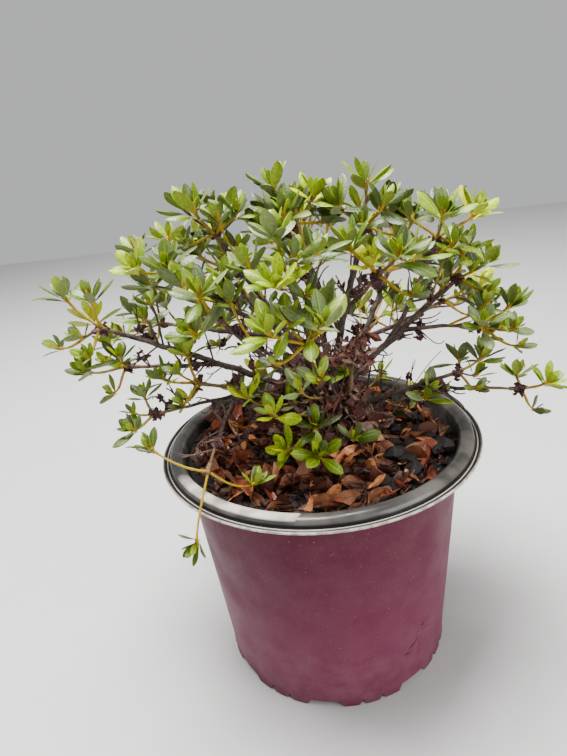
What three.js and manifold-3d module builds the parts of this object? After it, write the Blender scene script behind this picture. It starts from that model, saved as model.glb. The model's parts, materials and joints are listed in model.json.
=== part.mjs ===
// A potted evergreen azalea: a round nursery pot filled with bark mix, a short trunk that forks at once,
// arching boughs, and masses of small leaves in whorls. Sizes are in millimetres, +Z is up and +Y points to
// the back. The origin is under the middle of the pot, on the plane that the pot stands on.
import * as THREE from "three";
import { mergeVertices } from "three/addons/utils/BufferGeometryUtils.js";
import Module from "manifold-3d";

const wasm = await Module();
wasm.setup();

const CLEARANCE = 0.3; // gap left between pieces that touch
const UP = new THREE.Vector3(0, 0, 1);
const SPHERE_POLE = new THREE.Vector3(0, 1, 0); // spherical angles are measured from this axis
const GOLDEN_ANGLE = Math.PI * (3 - Math.sqrt(5));
const WELD = 1e-4; // corners nearer than this are one corner
const NEARLY_STRAIGHT = 0.02; // a curve whose ends differ by less than this sine has no bend to speak of

const POT = {
  footRadius: 107.5, // edge of the flat underside
  baseRadius: 107,
  baseHeight: 7,
  wallTopRadius: 121,
  wallTopHeight: 202,
  lipRadius: 140, // thin outer lip of the flange
  lipHeight: 212,
  rollRadius: 128, // crest of the rolled bead of the flange
  rollHeight: 219,
  throatRadius: 121.5,
  wall: 2,
  floor: 8,
  sides: 32,
  archCount: 8, // shallow arches round the foot, with teeth between them
  archWidth: 30,
  archHeight: 6.5,
  archAzimuth: -99,
  slotCount: 2, // narrow slots between two arches leave the teeth
  slotWidth: 5,
  slotHeight: 5,
  cutDepth: 12, // an arch or a slot reaches this far in from outside the wall
};

// The bark mix is level at the wall and rises to a seat for the trunk, with loose lumps between the two.
const MIX = { edgeHeight: 206, edgeDrop: 4, crownHeight: 214, seatRadius: 24, lump: 2, seed: 7 };

const TRUNK = {
  x: 21,
  y: 2,
  height: 40,
  leanX: -6,
  leanY: -2,
  baseRadius: 9,
  topRadius: 6.5,
  flare: 6, // root flare, in lobes
  flareFall: 6,
  lobes: 5,
  lobeDepth: 0.3,
  sides: 12,
  stations: [0, 0.1, 0.25, 0.5, 1],
};

const BOUGH = {
  sides: 5,
  taper: 0.58, // radius at the tip, as a share of the radius at the base
  setOut: 0.38, // how far the bough holds its first heading, as a share of the way to its mass
  arrive: 0.22, // how far it holds its last heading
  entry: 0.62, // it ends this share of the mass's spread short of the mass's middle
  steps: 3,
  longest: 90, // a bough over this length takes one more step
};

const TWIG = {
  sides: 3,
  stemRadius: 1.8,
  baseRadius: 1.4,
  neckRadius: 1.1,
  budRadius: 2.4,
  neck: 0.65, // the share of a shoot at which its bud begins to swell
  knotRadius: 3.4, // the knot from which a mass's shoots radiate
  knotSetback: 0.3, // it stands this share of the spread short of the mass's middle
};

// Leaves are widest past the middle, thickest at the midrib, and droop a little at the tip. There are fewer
// of them than on a real azalea, so they are larger than life to make the crown as full.
const LEAF = { length: 35, width: 16, thickness: 1.2, widest: 0.58, droop: 0.08 };

// A whorl's outer leaves root lowest, lean out most and are longest; its inner ones stand up.
const WHORL = {
  fewest: 4,
  extraChance: 0.3, // share of the whorls that have one leaf more
  outerLean: 72,
  innerLean: 26,
  leanSpread: 16,
  innerSize: 0.68,
  smallest: 0.9,
  sizeSpread: 0.25,
  outerSink: 5, // depth of a leaf's root below the shoot's tip
  innerSink: 3,
  tries: 4,
  tryTurn: 0.42,
  tryShrink: 0.1,
};

// The shoots of a mass point to places on a cap about its way out of the crown.
const GROWTH = {
  seed: 97,
  crownMiddle: 300, // height of the point that the masses grow away from
  upward: 0.35, // how much a mass's way out is turned upwards
  capAngle: 108,
  firstShare: 0.35,
  polarSpread: 0.2,
  turnSpread: 0.5,
  shortest: 0.88,
  lengthSpread: 0.24,
  reaches: [1, 0.88, 0.76, 0.64], // a shoot that doesn't fit is tried again at these shares of its length
  handle: 0.36, // share of a shoot's length over which it keeps its first and last heading
  rise: 0.45, // how much a shoot turns up at its tip
};

const CELL_MARGIN = 0.4; // foliage stays this far inside its own cell of the crown
const LIMB_MARGIN = 0.6; // and this far off every limb
const LIMB_LINES = 8; // straight lines that stand for a limb where foliage is kept off it
const RIM_MARGIN = 2; // and this far off the pot's rim

// The trailing twig has three shoots: one out to the left, one that hangs over the rim and one along the mix.
const TRAILING_TIPS = [
  { turn: 220, out: 156, height: 267, rise: 0.3 },
  { turn: 233, out: 156, height: 200, rise: -0.6 },
  { turn: 239, out: 100, height: 222, rise: 0.6 },
];

// Each mass of foliage sits at an azimuth (`turn`, 0 to the right and 90 to the back), a distance from the
// pot's axis and a height. Its shoots reach about `spread` from its middle. It grows from the bough of its
// own name or, where it has `onTrunk`, from that share of the trunk's height. Some have smaller leaves.
const MASSES = [
  { name: "top_left", turn: 161, out: 77, height: 400, spread: 28, shoots: 5 },
  { name: "crown_top", turn: 107, out: 16, height: 402, spread: 26, shoots: 5 },
  { name: "top_mid", turn: 0, out: 54, height: 396, spread: 26, shoots: 5 },
  { name: "top_right", turn: 0, out: 110, height: 382, spread: 27, shoots: 5 },
  { name: "left_upper", turn: 183, out: 112, height: 376, spread: 27, shoots: 5 },
  { name: "left_far", turn: 192, out: 170, height: 344, spread: 29, shoots: 5 },
  { name: "left_low", turn: 187, out: 160, height: 302, spread: 25, shoots: 4 },
  { name: "front_up", turn: 261, out: 72, height: 374, spread: 26, shoots: 5 },
  { name: "front_left", turn: 218, out: 89, height: 350, spread: 28, shoots: 5 },
  { name: "front_low", turn: 268, out: 93, height: 332, spread: 27, shoots: 5 },
  { name: "centre_right", turn: 317, out: 76, height: 366, spread: 27, shoots: 5 },
  { name: "right_up", turn: 2, out: 130, height: 344, spread: 27, shoots: 4 },
  { name: "right_mid", turn: 354, out: 144, height: 304, spread: 26, shoots: 4 },
  { name: "right_low", turn: 352, out: 126, height: 268, spread: 20, shoots: 3 },
  { name: "right_tip", turn: 354, out: 177, height: 246, spread: 18, shoots: 3, leafSize: 0.8 },
  { name: "top_back", turn: 86, out: 76, height: 382, spread: 31, shoots: 5 },
  { name: "back_left", turn: 134, out: 118, height: 362, spread: 32, shoots: 5 },
  { name: "back_right", turn: 42, out: 118, height: 356, spread: 32, shoots: 5 },
  { name: "back_mid", turn: 90, out: 134, height: 332, spread: 33, shoots: 5 },
  { name: "back_far_left", turn: 158, out: 156, height: 316, spread: 31, shoots: 5 },
  { name: "back_far_right", turn: 28, out: 154, height: 306, spread: 31, shoots: 5 },
  { name: "back_low_left", turn: 124, out: 140, height: 288, spread: 28, shoots: 4 },
  { name: "back_low_right", turn: 60, out: 142, height: 280, spread: 28, shoots: 4 },
  { name: "low_left", turn: 202, out: 105, height: 290, spread: 23, shoots: 4 },
  { name: "left_lowest", turn: 198, out: 142, height: 266, spread: 18, shoots: 2, leafSize: 0.8 },
  { name: "trailing", turn: 230, out: 130, height: 240, spread: 12, shoots: 3,
    leafSize: 0.65, tips: TRAILING_TIPS },
  { name: "sprout_front", turn: 262, out: 50, height: 236, spread: 21, shoots: 4,
    leafSize: 0.8, onTrunk: 0.2 },
  { name: "sprout_right", turn: 354, out: 84, height: 244, spread: 15, shoots: 2, leafSize: 0.7 },
  { name: "withered", turn: 324, out: 40, height: 300, spread: 18, shoots: 3,
    leafSize: 0.75, onTrunk: 0.92, rise: -0.6 },
];

// Each bough leaves the trunk or an earlier bough at a share of its length and ends where it enters the mass
// of the same name. `lift` is how steeply it sets out: 1 is straight up and 0 is level.
const BOUGHS = [
  { name: "top_mid", parent: "trunk", at: 0.97, radius: 4, lift: 0.85 },
  { name: "crown_top", parent: "top_mid", at: 0.35, radius: 2.7, lift: 0.7 },
  { name: "centre_right", parent: "top_mid", at: 0.5, radius: 2.4, lift: 0.35 },
  { name: "top_left", parent: "trunk", at: 0.86, radius: 3.9, lift: 0.62 },
  { name: "left_upper", parent: "top_left", at: 0.4, radius: 2.8, lift: 0.3 },
  { name: "right_up", parent: "trunk", at: 0.8, radius: 3.9, lift: 0.5 },
  { name: "top_right", parent: "right_up", at: 0.42, radius: 2.7, lift: 0.6 },
  { name: "right_mid", parent: "right_up", at: 0.55, radius: 2.4, lift: 0.1 },
  { name: "right_low", parent: "trunk", at: 0.4, radius: 3, lift: 0.3 },
  { name: "right_tip", parent: "right_low", at: 0.55, radius: 2.1, lift: 0 },
  { name: "front_up", parent: "trunk", at: 0.84, radius: 3.6, lift: 0.6 },
  { name: "front_low", parent: "front_up", at: 0.38, radius: 2.6, lift: 0.3 },
  { name: "front_left", parent: "trunk", at: 0.66, radius: 3.3, lift: 0.45 },
  { name: "left_far", parent: "trunk", at: 0.56, radius: 3.6, lift: 0.4 },
  { name: "left_low", parent: "left_far", at: 0.5, radius: 2.5, lift: 0.05 },
  { name: "low_left", parent: "trunk", at: 0.4, radius: 2.7, lift: 0.4 },
  { name: "top_back", parent: "trunk", at: 0.76, radius: 3.7, lift: 0.6 },
  { name: "back_mid", parent: "top_back", at: 0.36, radius: 2.7, lift: 0.3 },
  { name: "back_left", parent: "trunk", at: 0.7, radius: 3.7, lift: 0.5 },
  { name: "back_far_left", parent: "back_left", at: 0.42, radius: 2.7, lift: 0.1 },
  { name: "back_right", parent: "trunk", at: 0.6, radius: 3.7, lift: 0.5 },
  { name: "back_far_right", parent: "back_right", at: 0.42, radius: 2.7, lift: 0.1 },
  { name: "back_low_left", parent: "trunk", at: 0.46, radius: 3, lift: 0.25 },
  { name: "back_low_right", parent: "trunk", at: 0.42, radius: 3, lift: 0.25 },
  { name: "left_lowest", parent: "low_left", at: 0.6, radius: 2, lift: 0 },
  { name: "trailing", parent: "low_left", at: 0.7, radius: 1.8, lift: 0 },
  { name: "sprout_right", parent: "trunk", at: 0.16, radius: 2, lift: 0.3 },
];

const finish = (color, roughness) => new THREE.MeshStandardMaterial({ color, roughness, metalness: 0 });

const FINISHES = {
  pot: finish(0x6e3a52, 0.55),
  mix: finish(0x2e211b, 0.95),
  bark: finish(0x4a3a33, 0.85),
  leaf: finish(0x55802c, 0.5),
  withered: finish(0x5b3a2a, 0.9),
};

const radians = THREE.MathUtils.degToRad;
const lerp = THREE.MathUtils.lerp;
const vector = (x, y, z) => new THREE.Vector3(x, y, z);

// A repeatable stream of numbers from 0 to 1.
function seeded(seed) {
  let state = seed >>> 0;
  return () => {
    state = (state + 0x6d2b79f5) >>> 0;
    let mixed = Math.imul(state ^ (state >>> 15), state | 1);
    mixed ^= mixed + Math.imul(mixed ^ (mixed >>> 7), mixed | 61);
    return ((mixed ^ (mixed >>> 14)) >>> 0) / 4294967296;
  };
}

// A unit vector square to a direction.
function perpendicular(direction) {
  const aside = Math.abs(direction.z) > 0.9 ? vector(1, 0, 0) : UP;
  return direction.clone().cross(aside).normalize();
}

// A place given by its azimuth, its distance from the pot's axis and its height.
function placed({ turn, out, height }) {
  return vector(out * Math.cos(radians(turn)), out * Math.sin(radians(turn)), height);
}

// A geometry with only its positions left, each shared corner stored once.
function merged(geometry) {
  const bare = geometry.clone();
  bare.deleteAttribute("normal");
  bare.deleteAttribute("uv");
  return mergeVertices(bare, WELD);
}

function solidOf(geometry) {
  const { attributes, index } = merged(geometry);
  return new wasm.Manifold(
    new wasm.Mesh({
      numProp: 3,
      vertProperties: attributes.position.array,
      triVerts: new Uint32Array(index.array),
    }),
  );
}

function geometryOf(solid) {
  const mesh = solid.getMesh();
  const geometry = new THREE.BufferGeometry();
  geometry.setAttribute("position", new THREE.BufferAttribute(Float32Array.from(mesh.vertProperties), 3));
  geometry.setIndex(new THREE.BufferAttribute(Uint32Array.from(mesh.triVerts), 1));
  geometry.computeVertexNormals();
  return geometry;
}

// The largest body of a solid, with any sealed hollow filled and any scrap dropped.
function largestBody(solid) {
  return solid.decompose().reduce((best, body) => (body.volume() > best.volume() ? body : best));
}

// A solid turned about the pot's axis, from a profile of radius and height.
function turned(profile) {
  const points = profile.map(([radius, height]) => new THREE.Vector2(radius, height));
  return new THREE.LatheGeometry(points, POT.sides).rotateX(Math.PI / 2);
}

// A closed tube along a curve. Stations are the shares of the curve at which it has a ring of corners, and
// radiusAt gives the radius at a share and an angle round the tube.
function tube(curve, radiusAt, sides, stations) {
  const geometry = new THREE.CylinderGeometry(1, 1, 1, sides, stations.length - 1);
  const bend = curve.getTangent(0).cross(curve.getTangent(1));
  const isStraight = bend.length() < NEARLY_STRAIGHT;
  const across = isStraight ? perpendicular(curve.getTangent(0)) : bend.normalize();
  const position = geometry.attributes.position;
  for (let i = 0; i < position.count; i++) {
    const [x, y, z] = [position.getX(i), position.getY(i), position.getZ(i)];
    const share = stations[Math.round((y + 0.5) * (stations.length - 1))];
    const tangent = curve.getTangent(share);
    const other = tangent.clone().cross(across).normalize();
    const side = other.clone().cross(tangent);
    const radius = radiusAt(share, Math.atan2(z, x));
    const point = curve.getPoint(share);
    point.addScaledVector(side, x * radius).addScaledVector(other, -z * radius);
    position.setXYZ(i, point.x, point.y, point.z);
  }
  return geometry;
}

// Evenly spaced shares of a curve, ends included.
const evenly = (steps) => Array.from({ length: steps + 1 }, (_, i) => i / steps);

// The pot's section: the wall up to the flange, over its lip and rolled bead, and down inside to the floor.
function potProfile() {
  const { baseRadius, wallTopRadius, wallTopHeight, wall, floor } = POT;
  const { lipRadius, lipHeight, rollRadius, rollHeight } = POT;
  const outside = [
    [0, 0],
    [POT.footRadius, 0],
    [baseRadius, POT.baseHeight],
    [wallTopRadius, wallTopHeight],
    [wallTopRadius + 3, lipHeight - 5],
    [lipRadius - 1, lipHeight - 1.5],
    [lipRadius, lipHeight],
    [lipRadius - 1, lipHeight + 2],
    [rollRadius + 6, lipHeight + 1.5],
    [rollRadius + 3.5, rollHeight - 1.5],
    [rollRadius, rollHeight],
    [rollRadius - 4, rollHeight - 1.5],
    [POT.throatRadius, lipHeight],
  ];
  const inside = [
    [wallTopRadius - wall, wallTopHeight],
    [baseRadius - wall, floor + wall],
    [baseRadius - 2 * wall, floor],
    [0, floor],
  ];
  return [...outside, ...inside];
}

// A block across the foot of the wall at an azimuth, to cut an arch or a slot.
function footCut(azimuth, width, height) {
  const block = new THREE.BoxGeometry(POT.cutDepth, width, 2 * height);
  return solidOf(block.translate(POT.baseRadius, 0, 0).rotateZ(azimuth));
}

function makePot() {
  let pot = solidOf(turned(potProfile()));
  const pitch = (2 * Math.PI) / POT.archCount;
  const archSpan = POT.archWidth / POT.baseRadius;
  for (let arch = 0; arch < POT.archCount; arch++) {
    const middle = radians(POT.archAzimuth) + arch * pitch;
    pot = pot.subtract(footCut(middle, POT.archWidth, POT.archHeight));
    for (let slot = 1; slot <= POT.slotCount; slot++) {
      const share = slot / (POT.slotCount + 1) - 0.5;
      const azimuth = middle + pitch / 2 + share * (pitch - archSpan);
      pot = pot.subtract(footCut(azimuth, POT.slotWidth, POT.slotHeight));
    }
  }
  return pot;
}

// The mix fills the pot, clear of its wall and floor.
function makeMix() {
  const { edgeHeight, crownHeight, seatRadius } = MIX;
  const { baseRadius, wallTopRadius, wallTopHeight, wall, floor } = POT;
  const wallSlope = (wallTopRadius - baseRadius) / (wallTopHeight - floor - wall);
  const low = floor + 2 * wall;
  const high = edgeHeight - MIX.edgeDrop;
  const lowRadius = baseRadius - wall - CLEARANCE;
  const highRadius = lowRadius + wallSlope * (high - low);
  const soil = merged(
    turned([
      [0, floor + CLEARANCE],
      [lowRadius - 1.5 * wall, floor + CLEARANCE],
      [lowRadius, low],
      [highRadius, high],
      [highRadius * 0.9, edgeHeight],
      [highRadius * 0.68, lerp(edgeHeight, crownHeight, 0.25)],
      [highRadius * 0.45, lerp(edgeHeight, crownHeight, 0.7)],
      [seatRadius, crownHeight],
      [0, crownHeight],
    ]),
  );
  const random = seeded(MIX.seed);
  const position = soil.attributes.position;
  for (let i = 0; i < position.count; i++) {
    const radius = Math.hypot(position.getX(i), position.getY(i));
    const isLoose = position.getZ(i) > edgeHeight - 1 && radius > seatRadius + 1;
    const rise = isLoose ? (2 * random() - 1) * MIX.lump : 0;
    position.setZ(i, position.getZ(i) + rise);
  }
  return solidOf(soil);
}

const trunkFoot = vector(TRUNK.x, TRUNK.y, MIX.crownHeight + CLEARANCE);
const trunkCurve = new THREE.QuadraticBezierCurve3(
  trunkFoot,
  trunkFoot.clone().addScaledVector(UP, TRUNK.height / 2),
  trunkFoot.clone().add(vector(TRUNK.leanX, TRUNK.leanY, TRUNK.height)),
);

// The trunk tapers upwards and flares in lobes towards its foot.
function trunkRadius(share, angle) {
  const flare = TRUNK.flare * Math.exp(-share * TRUNK.flareFall);
  const lobes = 1 + TRUNK.lobeDepth * Math.cos(TRUNK.lobes * angle);
  return lerp(TRUNK.baseRadius, TRUNK.topRadius, share) + flare * lobes;
}

// The trunk, or the space that it takes up when it is grown by a clearance.
function makeTrunk(grow = 0) {
  const radiusAt = (share, angle) => trunkRadius(share, angle) + grow;
  return solidOf(tube(trunkCurve, radiusAt, TRUNK.sides, TRUNK.stations));
}

// A bough sets out by its lift and arrives heading for the middle of its mass.
function boughCurve(bough, parentCurve, mass) {
  const start = parentCurve.getPoint(bough.at);
  const wayToMass = mass.middle.clone().sub(start);
  const length = wayToMass.length();
  const level = vector(wayToMass.x, wayToMass.y, 0).normalize();
  const heading = level.multiplyScalar(1 - bough.lift).addScaledVector(UP, bough.lift).normalize();
  const first = start.clone().addScaledVector(heading, length * BOUGH.setOut);
  const arrival = mass.middle.clone().sub(first).normalize();
  const end = mass.middle.clone().addScaledVector(arrival, -mass.spread * BOUGH.entry);
  const second = end.clone().addScaledVector(arrival, -length * BOUGH.arrive);
  return new THREE.CubicBezierCurve3(start, first, second, end);
}

// The curves of the trunk and boughs by name, and all limbs as short straight lines with a radius.
const curves = new Map([["trunk", trunkCurve]]);
const limbLines = [];

function addLimbLines(curve, radiusAt) {
  const points = curve.getPoints(LIMB_LINES);
  for (let i = 0; i < LIMB_LINES; i++) {
    limbLines.push({ line: new THREE.Line3(points[i], points[i + 1]), radius: radiusAt(i / LIMB_LINES) });
  }
}

const boughRadius = (bough) => (share) => bough.radius * lerp(1, BOUGH.taper, share);

function layOutLimbs() {
  for (const mass of MASSES) mass.middle = placed(mass);
  addLimbLines(trunkCurve, (share) => trunkRadius(share, 0));
  for (const bough of BOUGHS) {
    const mass = MASSES.find(({ name }) => name === bough.name);
    bough.curve = boughCurve(bough, curves.get(bough.parent), mass);
    curves.set(bough.name, bough.curve);
    addLimbLines(bough.curve, boughRadius(bough));
  }
}

// A bough, or the space that it takes up when it is grown by a clearance.
function boughSolid(bough, grow = 0) {
  const radiusAt = (share) => boughRadius(bough)(share) + grow;
  const steps = BOUGH.steps + (bough.curve.getLength() > BOUGH.longest ? 1 : 0);
  return solidOf(tube(bough.curve, radiusAt, BOUGH.sides, evenly(steps)));
}

// A bough, cut clear of the trunk and of the boughs made before it.
function makeBough(bough, earlier) {
  let solid = boughSolid(bough).subtract(makeTrunk(CLEARANCE));
  for (const other of earlier) {
    const taken = boughSolid(other, CLEARANCE);
    if (taken.intersect(solid).volume() > 0) solid = solid.subtract(taken);
  }
  return largestBody(solid);
}

// A point is in a mass's cell where it is nearer to that mass than to any other. Larger masses reach further.
function isInCell(mass, point) {
  return MASSES.every((other) => {
    if (other === mass) return true;
    const apart = other.middle.distanceTo(mass.middle);
    const weight = other.spread ** 2 - mass.spread ** 2;
    const lead = point.distanceToSquared(other.middle) - point.distanceToSquared(mass.middle) - weight;
    return lead > 2 * apart * CELL_MARGIN;
  });
}

// Foliage may be over the rim, outside it, or inside the throat and above the mix.
function isClearOfPot(point) {
  const radius = Math.hypot(point.x, point.y);
  if (point.z > POT.rollHeight + RIM_MARGIN || radius > POT.lipRadius + RIM_MARGIN) return true;
  return radius < POT.throatRadius - 3 * RIM_MARGIN && point.z > MIX.crownHeight + 1;
}

// True where a straight stretch of foliage stays off the trunk and every bough.
function isClearOfLimbs(from, to, halfWidth) {
  const stretch = new THREE.Line3(from, to);
  const onStretch = new THREE.Vector3();
  const onLimb = new THREE.Vector3();
  return limbLines.every(({ line, radius }) => {
    const apart = Math.sqrt(line.distanceSqToLine3(stretch, onLimb, onStretch));
    return apart > radius + halfWidth + LIMB_MARGIN;
  });
}

// The directions of a mass's shoots: a golden-angle spiral over a cap about the mass's way out of the crown.
function shootDirections(mass, random) {
  const middle = vector(0, 0, GROWTH.crownMiddle);
  const outward = mass.middle.clone().sub(middle).normalize().addScaledVector(UP, GROWTH.upward).normalize();
  const turnOutward = new THREE.Quaternion().setFromUnitVectors(SPHERE_POLE, outward);
  const phase = random() * 2 * Math.PI;
  return Array.from({ length: mass.shoots }, (_, index) => {
    const share = Math.sqrt((index + GROWTH.firstShare) / mass.shoots);
    const polar = radians(GROWTH.capAngle) * share + (random() - 0.5) * GROWTH.polarSpread;
    const azimuth = phase + index * GOLDEN_ANGLE + (random() - 0.5) * GROWTH.turnSpread;
    return new THREE.Vector3().setFromSphericalCoords(1, polar, azimuth).applyQuaternion(turnOutward);
  });
}

// A shoot runs from the mass's knot to its tip, where it turns up by its rise, or down if that is negative.
function shootCurve(knot, tip, stemHeading, rise) {
  const way = tip.clone().sub(knot).normalize();
  const handle = tip.distanceTo(knot) * GROWTH.handle;
  const heading = way.clone().multiplyScalar(0.75).addScaledVector(stemHeading, 0.25).normalize();
  const arrival = way.clone().multiplyScalar(0.7).addScaledVector(UP, rise).normalize();
  return new THREE.CubicBezierCurve3(
    knot,
    knot.clone().addScaledVector(heading, handle),
    tip.clone().addScaledVector(arrival, -handle),
    tip,
  );
}

// A shoot is thin and swells into a bud at its tip, where its leaves root.
function shootTube(curve) {
  const { baseRadius, neckRadius, budRadius, neck } = TWIG;
  const radiusAt = (share) => (share > neck ? budRadius : lerp(baseRadius, neckRadius, share / neck));
  return tube(curve, radiusAt, TWIG.sides, [0, neck, 1]);
}

// A leaf is a thin blade with a flat underside and a raised midrib, made from a pyramid on either side of a
// triangular section.
function leafBlade(root, heading, face, length, width) {
  const side = face.clone().cross(heading).normalize();
  const normal = heading.clone().cross(side).normalize();
  const blade = new THREE.SphereGeometry(1, 3, 2);
  const position = blade.attributes.position;
  for (let i = 0; i < position.count; i++) {
    const [x, y, z] = [position.getX(i), position.getY(i), position.getZ(i)];
    const isTip = y > 0.5;
    const isRoot = y < -0.5;
    const isRib = x < -0.5;
    const along = isTip ? length : isRoot ? 0 : LEAF.widest * length;
    const across = isTip || isRoot || isRib ? 0 : (-Math.sign(z) * width) / 2;
    const height = isTip ? -LEAF.droop * length : isRib ? LEAF.thickness : 0;
    position.setXYZ(i, along, across, height);
  }
  return blade.applyMatrix4(new THREE.Matrix4().makeBasis(heading, side, normal).setPosition(root));
}

// True where every corner of a blade is in the mass's cell and clear of the pot.
function isBladeFree(mass, blade) {
  const position = blade.attributes.position;
  const corner = new THREE.Vector3();
  for (let i = 0; i < position.count; i++) {
    corner.fromBufferAttribute(position, i);
    if (!isInCell(mass, corner) || !isClearOfPot(corner)) return false;
  }
  return true;
}

// The whorl of leaves at a shoot's tip. A leaf that would leave the mass's cell, touch a limb or meet the pot
// is turned, shortened and tried again, and then skipped.
function whorl(mass, tip, axis, random) {
  const across = perpendicular(axis);
  const other = axis.clone().cross(across);
  const phase = random() * 2 * Math.PI;
  const count = WHORL.fewest + (random() < WHORL.extraChance ? 1 : 0);
  const blades = [];
  for (let index = 0; index < count; index++) {
    const inner = index / (count - 1);
    const lean = radians(lerp(WHORL.outerLean, WHORL.innerLean, inner) + (random() - 0.5) * WHORL.leanSpread);
    const share = lerp(1, WHORL.innerSize, inner) * (WHORL.smallest + random() * WHORL.sizeSpread);
    const size = share * (mass.leafSize ?? 1);
    const root = tip.clone().addScaledVector(axis, -lerp(WHORL.outerSink, WHORL.innerSink, inner));
    for (let attempt = 0; attempt < WHORL.tries; attempt++) {
      const turn = phase + index * GOLDEN_ANGLE + attempt * WHORL.tryTurn;
      const spoke = across.clone().multiplyScalar(Math.cos(turn)).addScaledVector(other, Math.sin(turn));
      const heading = axis.clone().multiplyScalar(Math.cos(lean)).addScaledVector(spoke, Math.sin(lean));
      const width = LEAF.width * size;
      const length = LEAF.length * size * (1 - attempt * WHORL.tryShrink);
      const blade = leafBlade(root, heading, axis, length, width);
      const end = root.clone().addScaledVector(heading, length);
      if (isBladeFree(mass, blade) && isClearOfLimbs(root, end, width / 2)) {
        blades.push(blade);
        break;
      }
    }
  }
  return blades;
}

// Where a mass's stem begins, and its heading there: just past its bough's tip, or just off the trunk's side.
function stemStart(mass) {
  if (!mass.onTrunk) {
    const curve = curves.get(mass.name);
    const heading = curve.getTangent(1);
    return { start: curve.getPoint(1).addScaledVector(heading, CLEARANCE), heading };
  }
  const inside = trunkCurve.getPoint(mass.onTrunk);
  const heading = vector(mass.middle.x - inside.x, mass.middle.y - inside.y, 0).normalize();
  return { start: inside.addScaledVector(heading, trunkRadius(mass.onTrunk, 0) + CLEARANCE), heading };
}

// One shoot of a mass with its whorl, or nothing where it fits at none of its reaches.
function growShoot(mass, order, direction, knot, stemHeading, random) {
  const fixed = mass.tips?.[order];
  const fullLength = mass.spread * (GROWTH.shortest + GROWTH.lengthSpread * random());
  for (const reach of GROWTH.reaches) {
    const tip = fixed ? placed(fixed) : mass.middle.clone().addScaledVector(direction, fullLength * reach);
    const curve = shootCurve(knot, tip, stemHeading, fixed?.rise ?? mass.rise ?? GROWTH.rise);
    const joints = curve.getPoints(3);
    const isInside = joints.every((point) => isInCell(mass, point) && isClearOfPot(point));
    const isFree = joints.slice(1).every((point, i) => isClearOfLimbs(joints[i], point, TWIG.baseRadius));
    if (isInside && isFree) return [shootTube(curve), ...whorl(mass, tip, curve.getTangent(1), random)];
  }
  return [];
}

// All of one mass: a stem that goes on from the limb to a knot, and the shoots that radiate from there.
function makeMass(mass, index) {
  const massSeed = GROWTH.seed * (index + 1);
  const { start, heading } = stemStart(mass);
  const stemHeading = mass.middle.clone().sub(start).normalize();
  const knot = mass.middle.clone().addScaledVector(stemHeading, -mass.spread * TWIG.knotSetback);
  const bend = start.clone().addScaledVector(heading, start.distanceTo(knot) / 2);
  const stem = new THREE.QuadraticBezierCurve3(start, bend, knot);
  const pieces = [
    tube(stem, () => TWIG.stemRadius, TWIG.sides, evenly(2)),
    new THREE.OctahedronGeometry(TWIG.knotRadius).translate(knot.x, knot.y, knot.z),
  ];
  shootDirections(mass, seeded(massSeed)).forEach((direction, order) => {
    const random = seeded(massSeed + order + 1);
    pieces.push(...growShoot(mass, order, direction, knot, stemHeading, random));
  });
  return largestBody(pieces.map(solidOf).reduce((whole, piece) => whole.add(piece)));
}

const azalea = new THREE.Group();

function show(name, solid, look) {
  const mesh = new THREE.Mesh(geometryOf(solid), look);
  mesh.name = name;
  azalea.add(mesh);
}

layOutLimbs();
show("pot", makePot(), FINISHES.pot);
show("bark_mix", makeMix(), FINISHES.mix);
show("trunk", makeTrunk(), FINISHES.bark);
BOUGHS.forEach((bough, index) => {
  show(`bough_${bough.name}`, makeBough(bough, BOUGHS.slice(0, index)), FINISHES.bark);
});
MASSES.forEach((mass, index) => {
  const look = mass.name === "withered" ? FINISHES.withered : FINISHES.leaf;
  show(`foliage_${mass.name}`, makeMass(mass, index), look);
});

export default azalea;
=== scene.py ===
# Looks for a potted evergreen azalea: the nursery pot, the bark mix with dead leaves on it, the bark of the
# trunk and boughs, and the shoots with their leaves. Lengths are millimetres until a mesh is made. +Z is up,
# +Y points to the back, and the origin is under the middle of the pot.
import json
import math
import random
from dataclasses import dataclass

import bmesh
import bpy
import numpy as np
from mathutils import Matrix, Vector, noise

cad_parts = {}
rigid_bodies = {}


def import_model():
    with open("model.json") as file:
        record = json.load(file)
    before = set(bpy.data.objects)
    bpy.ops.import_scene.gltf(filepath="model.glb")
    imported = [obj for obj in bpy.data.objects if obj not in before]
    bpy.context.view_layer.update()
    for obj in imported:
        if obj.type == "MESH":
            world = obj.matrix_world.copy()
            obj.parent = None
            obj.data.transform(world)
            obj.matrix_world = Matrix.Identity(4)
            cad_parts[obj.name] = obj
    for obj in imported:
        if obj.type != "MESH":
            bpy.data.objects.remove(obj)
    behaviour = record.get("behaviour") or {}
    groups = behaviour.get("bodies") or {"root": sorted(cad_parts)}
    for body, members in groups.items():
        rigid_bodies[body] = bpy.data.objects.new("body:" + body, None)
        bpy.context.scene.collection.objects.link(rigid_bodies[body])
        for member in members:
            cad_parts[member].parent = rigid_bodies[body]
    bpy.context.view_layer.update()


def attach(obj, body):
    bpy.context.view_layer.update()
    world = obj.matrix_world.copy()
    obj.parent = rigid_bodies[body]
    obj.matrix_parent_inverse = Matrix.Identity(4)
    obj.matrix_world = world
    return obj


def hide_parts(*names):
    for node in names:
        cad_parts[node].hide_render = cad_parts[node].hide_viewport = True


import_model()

MM = 0.001
UP = Vector((0, 0, 1))
GOLDEN_ANGLE = math.pi * (3 - math.sqrt(5))
BODY = "root"

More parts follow.
